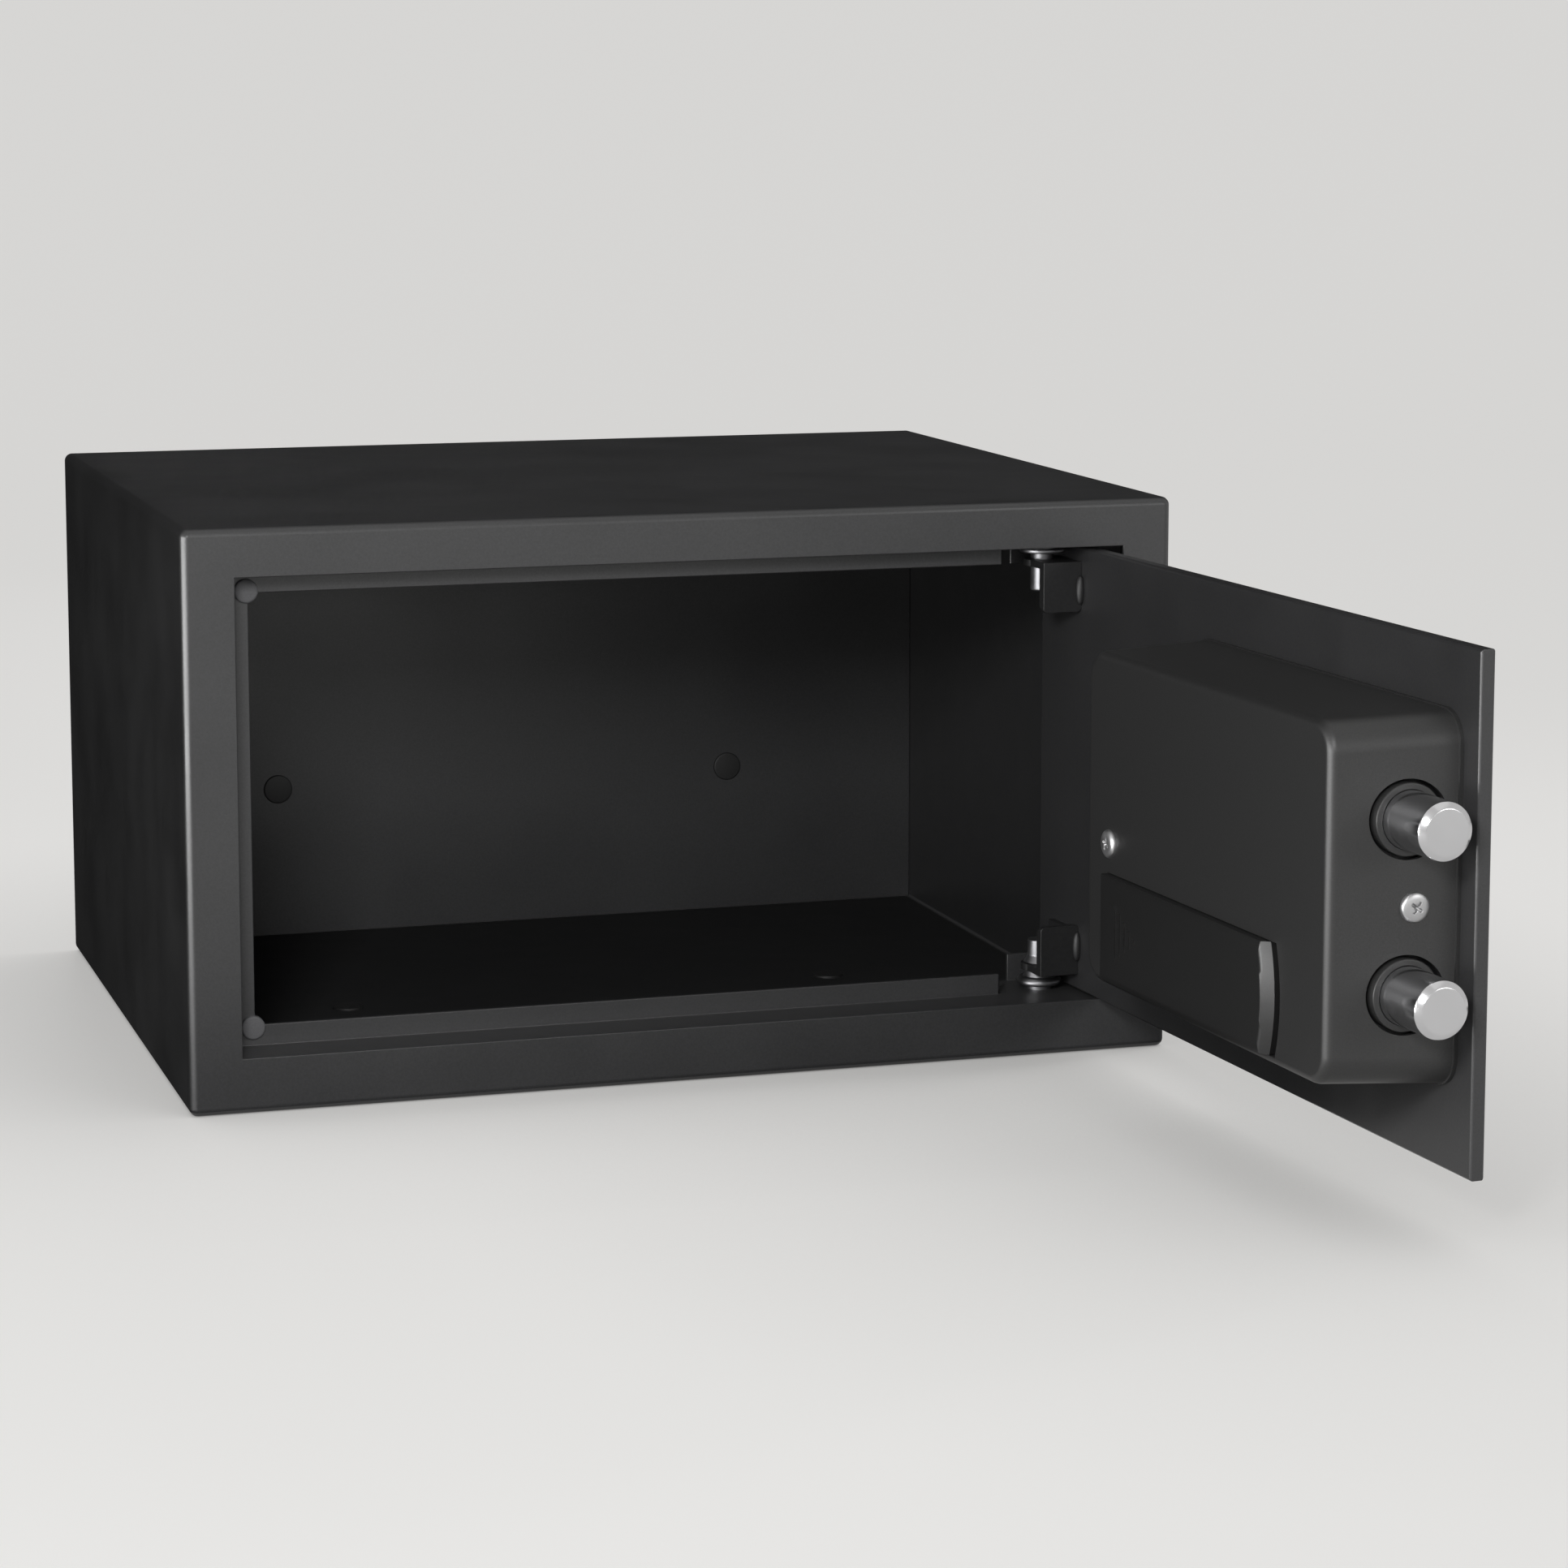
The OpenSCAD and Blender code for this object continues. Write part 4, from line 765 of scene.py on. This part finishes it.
def cut_small(mesh, step):
    """Cuts a mesh along planes across x and y, a step apart, so that its faces can follow a curve."""
    shape = bmesh.new()
    shape.from_mesh(mesh)
    bmesh.ops.triangulate(shape, faces=shape.faces)
    for way in ((1, 0, 0), (0, 1, 0)):
        places = [vertex.co.dot(way) for vertex in shape.verts]
        for place in np.arange(min(places) + step, max(places), step):
            parts = shape.verts[:] + shape.edges[:] + shape.faces[:]
            bmesh.ops.bisect_plane(shape, geom=parts, plane_co=np.array(way) * place, plane_no=way)
    bmesh.ops.triangulate(shape, faces=shape.faces)
    shape.to_mesh(mesh)
    shape.free()


def print_sign(name, node, sign, mid, face, inner):
    """The plain sign of a button as a thin print that follows its crown."""
    curve = bpy.data.curves.new(name, "FONT")
    curve.body = sign
    curve.size = SIGN_SIZE * MM
    curve.extrude = SIGN_THICK * MM
    curve.offset = SIGN_BOLD * MM
    curve.align_x, curve.align_y = "CENTER", "CENTER"
    letter = linked(name + "_text", curve)
    bpy.context.view_layer.update()
    ready = letter.evaluated_get(bpy.context.evaluated_depsgraph_get())
    mesh = bpy.data.meshes.new_from_object(ready)
    bpy.data.objects.remove(letter)
    cut_small(mesh, SIGN_STEP * MM)
    points = np.empty(len(mesh.vertices) * 3)
    mesh.vertices.foreach_get("co", points)
    points = points.reshape(-1, 3)
    points[:, :2] -= (points[:, :2].min(0) + points[:, :2].max(0)) / 2
    u, v, thick = points.T
    y = face - cap_height(u, v, *inner) - SIGN_RISE * MM - thick
    placed = opened(np.column_stack([mid[0] + u, y, mid[1] + v]))
    mesh.vertices.foreach_set("co", placed.ravel())
    mesh.update()
    piece = finish_mesh(name, mesh, INK)
    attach(piece, BODY_OF[node])


def lamp_domes():
    """The three lamps: straight lenses with domed fronts."""
    points = shut(node_points("led_lenses"))
    lo, hi = points.min(0), points.max(0)
    radius = (hi[2] - lo[2]) / 2
    length = hi[1] - lo[1]
    dome, shoulder = LAMP_DOME[0] * MM, LAMP_DOME[1] * MM
    lens = rounded([(0, 0), (0, radius), (length - dome, radius), (length, 0)], (0, shoulder), 8)
    pitch = (hi[0] - lo[0] - 2 * radius) / (LAMP_COUNT - 1)
    shapes = [revolved(lens, (lo[0] + radius + i * pitch, hi[1], (lo[2] + hi[2]) / 2), (0, -1, 0), 48)
              for i in range(LAMP_COUNT)]
    return stand_for(make_object("lamp_domes", all_opened(shapes), LAMP), "led_lenses")


turned_bolt("bolt_high", "bolt_upper")
turned_bolt("bolt_low", "bolt_lower")
bush_rings()
cover_cross_screws()
stop_bumpers()
hinge_pins()
bracket_welds()
hole_plugs()
for key in "1234567890":
    pillow_button("button_" + key, key)
pillow_button("button_star", "*")
pillow_button("button_hash", "#")
lamp_domes()
softened("key_barrel", ["key_cylinder"], NICKEL_BOLT, 0.4)
softened("key_core", ["key_plug"], ZINC, 0.15, segments=2)

# Pieces that keep the CAD's mesh
FINISH = {
    "lock_chassis": BLACK_STEEL, "guide_stud": ZINC, "cover_posts": ZINC, "battery_tray": LID_ABS,
    "battery_cells": JACKET, "battery_contacts": NICKEL_PAINTED_SHADE, "circuit_board": LAMINATE,
    "board_standoffs": NICKEL_PAINTED_SHADE, "solenoid_body": ZINC, "keypad_board": LAMINATE,
    "keypad_cable": RIBBON, "bolt_carriage": ZINC, "knob_spindle": NICKEL_BOLT,
    "solenoid_plunger": ZINC, "key_cam": ZINC,
}
for name, material in FINISH.items():
    thing = frame["nodes"][name]
    thing.data.materials.clear()
    thing.data.materials.append(material)


# Floor, light and camera

FLOOR_PALE = "#f1f0ee"       # colour of the floor for the eye, gloss and glass
FLOOR_DIM = "#6a6a69"        # its colour for the light that it throws back
FLOOR_LIT = 0.25             # share of its paleness that the lamps give
CONTACT_REACH = 0.3          # distance within which the object shades the floor's own paleness, m
CONTACT_DARK = 0.3           # share of it that is left right under the object
WORLD = 0.05                 # strength of the even light from all round
WORLD_TINT = "#e9eaec"       # its colour
WORLD_PALE = "#d9d8d6"       # colour that the eye, gloss and glass see beyond the floor

# Dark cards: an upright one behind the object, and one on the floor under and beside it, in metres
CARD_BACK = 0.45             # place of the upright card
CARD_ENDS = (-2.2, 2.4)      # its ends from left to right
CARD_TOP = 2.4               # its height
CARD_LIFT = 0.002            # lift of both off the floor
FLOOR_CARD = [(-2.2, 0.25), (-0.5, -0.1), (-0.4, -0.34), (0.6, -0.34), (0.6, 0.45)]

# Lamps: name, place, aim, width and height in metres, power in watts
AIM = (0.0, -0.1, 0.12)
LAMPS = [
    ("key_lamp", (-0.47, -1.2, 0.58), AIM, (0.2, 0.2), 4.7),
    ("far_lamp", (-0.7, -2.5, 0.8), AIM, (0.3, 0.3), 2.6),
    ("front_lamp", (0.15, -2.6, 0.45), AIM, (0.3, 0.3), 2.0),
    ("right_lamp", (1.3, -2.2, 0.7), AIM, (0.8, 0.8), 7.5),
    ("left_lamp", (-2.0, -0.45, 0.5), AIM, (0.35, 0.7), 2.8),
    ("top_lamp", (0.5, -0.8, 2.3), AIM, (1.6, 1.6), 1.8),
]

# Lamps without gloss, for the sides that the photograph doesn't show, and the angle of their narrow beam
FILL_BEAM = 35.0
FILL_LAMPS = [
    ("side_lamp", (2.2, 0.5, 0.48), (0.0, 0.0, 0.15), (0.5, 0.5), 1.8),
    ("back_lamp", (0.2, 2.2, 0.48), (0.0, 0.0, 0.15), (0.5, 0.5), 1.8),
]

# Lamp that only gloss sees, low on the left, where the upright bends mirror it
GLINT_LAMP = ("glint_lamp", (-0.8, -0.55, 0.115), (0.0, -0.3, 0.08), (0.9, 0.22), 11.0)


def seen_rays(tree):
    """1 for the rays of camera, gloss and glass, which see the pale ground, and 0 for the others."""
    path = add(tree, "ShaderNodeLightPath")
    seen = path.outputs["Is Camera Ray"]
    for ray in ("Is Glossy Ray", "Is Transmission Ray"):
        either = add(tree, "ShaderNodeMath", {"operation": "MAXIMUM"})
        tree.links.new(seen, either.inputs[0])
        tree.links.new(path.outputs[ray], either.inputs[1])
        seen = either.outputs[0]
    return seen


def pale_sweep():
    """A pale floor that bends up into a backdrop far behind the object.

    The camera, gloss and glass see most of its paleness as its own light, so it stays pale where the
    lamps hardly reach it; that own light is darkened close to the object by ambient occlusion, a painted
    contact shadow. The rest is lit, which keeps the object's shadow. Other rays see a plain grey floor,
    so it adds no light of its own to the object.
    """
    half, front = 14.0, -16.0               # half width and front edge, m
    bend, radius, high = 2.2, 1.6, 7.0      # start and radius of the bend, and top of the backdrop, m
    arc = np.linspace(0, np.pi / 2, 33)
    profile = [(front, 0.0)] + [(bend + radius * math.sin(a), radius * (1 - math.cos(a))) for a in arc]
    profile.append((bend + radius, high))
    points = [(x, y, z) for y, z in profile for x in (-half, half)]
    faces = [tuple(int(v) for v in face) for face in grid_faces(len(profile), 2, wrap=False)]
    material = bpy.data.materials.new("pale_floor")
    tree = bare_tree(material)
    seen = seen_rays(tree)
    close = add(tree, "ShaderNodeAmbientOcclusion", {"samples": 16, "Distance": CONTACT_REACH})
    shade = spread(tree, close.outputs["AO"], CONTACT_DARK, 1.0, 0.0, 1.0)
    own = add(tree, "ShaderNodeEmission", {"Color": srgb(FLOOR_PALE)}, {"Strength": shade})
    lit = add(tree, "ShaderNodeBsdfDiffuse", {"Color": srgb(FLOOR_PALE)})
    pale = add(tree, "ShaderNodeMixShader", {"Fac": FLOOR_LIT})
    tree.links.new(own.outputs[0], pale.inputs[1])
    tree.links.new(lit.outputs[0], pale.inputs[2])
    dim = add(tree, "ShaderNodeBsdfDiffuse", {"Color": srgb(FLOOR_DIM)})
    mix = add(tree, "ShaderNodeMixShader", links={"Fac": seen})
    tree.links.new(dim.outputs[0], mix.inputs[1])
    tree.links.new(pale.outputs[0], mix.inputs[2])
    add(tree, "ShaderNodeOutputMaterial", links={"Surface": mix.outputs[0]})
    mesh = bpy.data.meshes.new("floor")
    mesh.from_pydata(points, [], faces)
    mesh.polygons.foreach_set("use_smooth", np.ones(len(mesh.polygons), bool))
    mesh.materials.append(material)
    floor = linked("floor", mesh)


def dark_cards():
    """Matt black cards behind and under the object that only gloss sees.

    They keep the pale ground out of the satin of the faces that are seen at a low angle, as a
    photographer's black cards do, and cast no shadow. Under the door and the cabinet the floor card is
    painted shade: for gloss it stands in for the shade that the object casts on the floor there.
    """
    left, right = CARD_ENDS
    corners = [(left, CARD_BACK, CARD_LIFT), (right, CARD_BACK, CARD_LIFT),
               (right, CARD_BACK, CARD_TOP), (left, CARD_BACK, CARD_TOP)]
    corners += [(x, y, CARD_LIFT) for x, y in FLOOR_CARD]
    material = bpy.data.materials.new("back_cards")
    tree = bare_tree(material)
    black = add(tree, "ShaderNodeBsdfDiffuse", {"Color": srgb("#0c0c0c")})
    add(tree, "ShaderNodeOutputMaterial", links={"Surface": black.outputs[0]})
    mesh = bpy.data.meshes.new("back_cards")
    mesh.from_pydata(corners, [], [(0, 1, 2, 3), (0, 8, 7, 6, 5, 4)])
    mesh.materials.append(material)
    card = linked("back_cards", mesh)
    for ray in ("camera", "diffuse", "transmission", "volume_scatter", "shadow"):
        setattr(card, "visible_" + ray, False)


def soft_light(name, place, aim, size, power):
    """A soft lamp of a width and height at a place, turned to its aim."""
    lamp = bpy.data.lights.new(name, "AREA")
    lamp.shape = "RECTANGLE"
    lamp.size, lamp.size_y = size
    lamp.energy = power
    thing = linked(name, lamp)
    away = np.array(aim, float) - np.array(place, float)
    yaw = math.atan2(-away[0], away[1])
    pitch = math.atan2(away[2], math.hypot(away[0], away[1]))
    thing.location = place
    thing.rotation_euler = (math.pi / 2 + pitch, 0, yaw)
    return thing


def studio():
    """A dim even world that looks pale, the lamps, the fill lamps without gloss and the glint lamp."""
    world = bpy.data.worlds.new("studio")
    tree = bare_tree(world)
    even = add(tree, "ShaderNodeBackground", {"Color": srgb(WORLD_TINT), "Strength": WORLD})
    pale = add(tree, "ShaderNodeBackground", {"Color": srgb(WORLD_PALE), "Strength": 1.0})
    mix = add(tree, "ShaderNodeMixShader", links={"Fac": seen_rays(tree)})
    tree.links.new(even.outputs[0], mix.inputs[1])
    tree.links.new(pale.outputs[0], mix.inputs[2])
    add(tree, "ShaderNodeOutputWorld", links={"Surface": mix.outputs[0]})
    bpy.context.scene.world = world
    for lamp in LAMPS:
        soft_light(*lamp)
    for lamp in FILL_LAMPS:
        fill = soft_light(*lamp)
        fill.visible_glossy = False
        fill.data.spread = math.radians(FILL_BEAM)
    soft_light(*GLINT_LAMP).visible_diffuse = False


def photograph_camera():
    """The camera at the photograph's place, shifted so that its axis meets the photograph's own row."""
    data = bpy.data.cameras.new("camera")
    data.sensor_width = SENSOR
    data.lens = FOCAL_PIXELS / PICTURE * SENSOR
    data.shift_y = -(PICTURE / 2 - AXIS_ROW) / PICTURE
    data.clip_start, data.clip_end = 0.05, 50
    camera = linked("camera", data)
    camera.location = CAMERA_PLACE
    camera.rotation_euler = (math.pi / 2 + CAMERA_PITCH, 0, CAMERA_YAW)
    bpy.context.scene.camera = camera


pale_sweep()
dark_cards()
studio()
photograph_camera()
bpy.context.scene.view_settings.view_transform = "Standard"
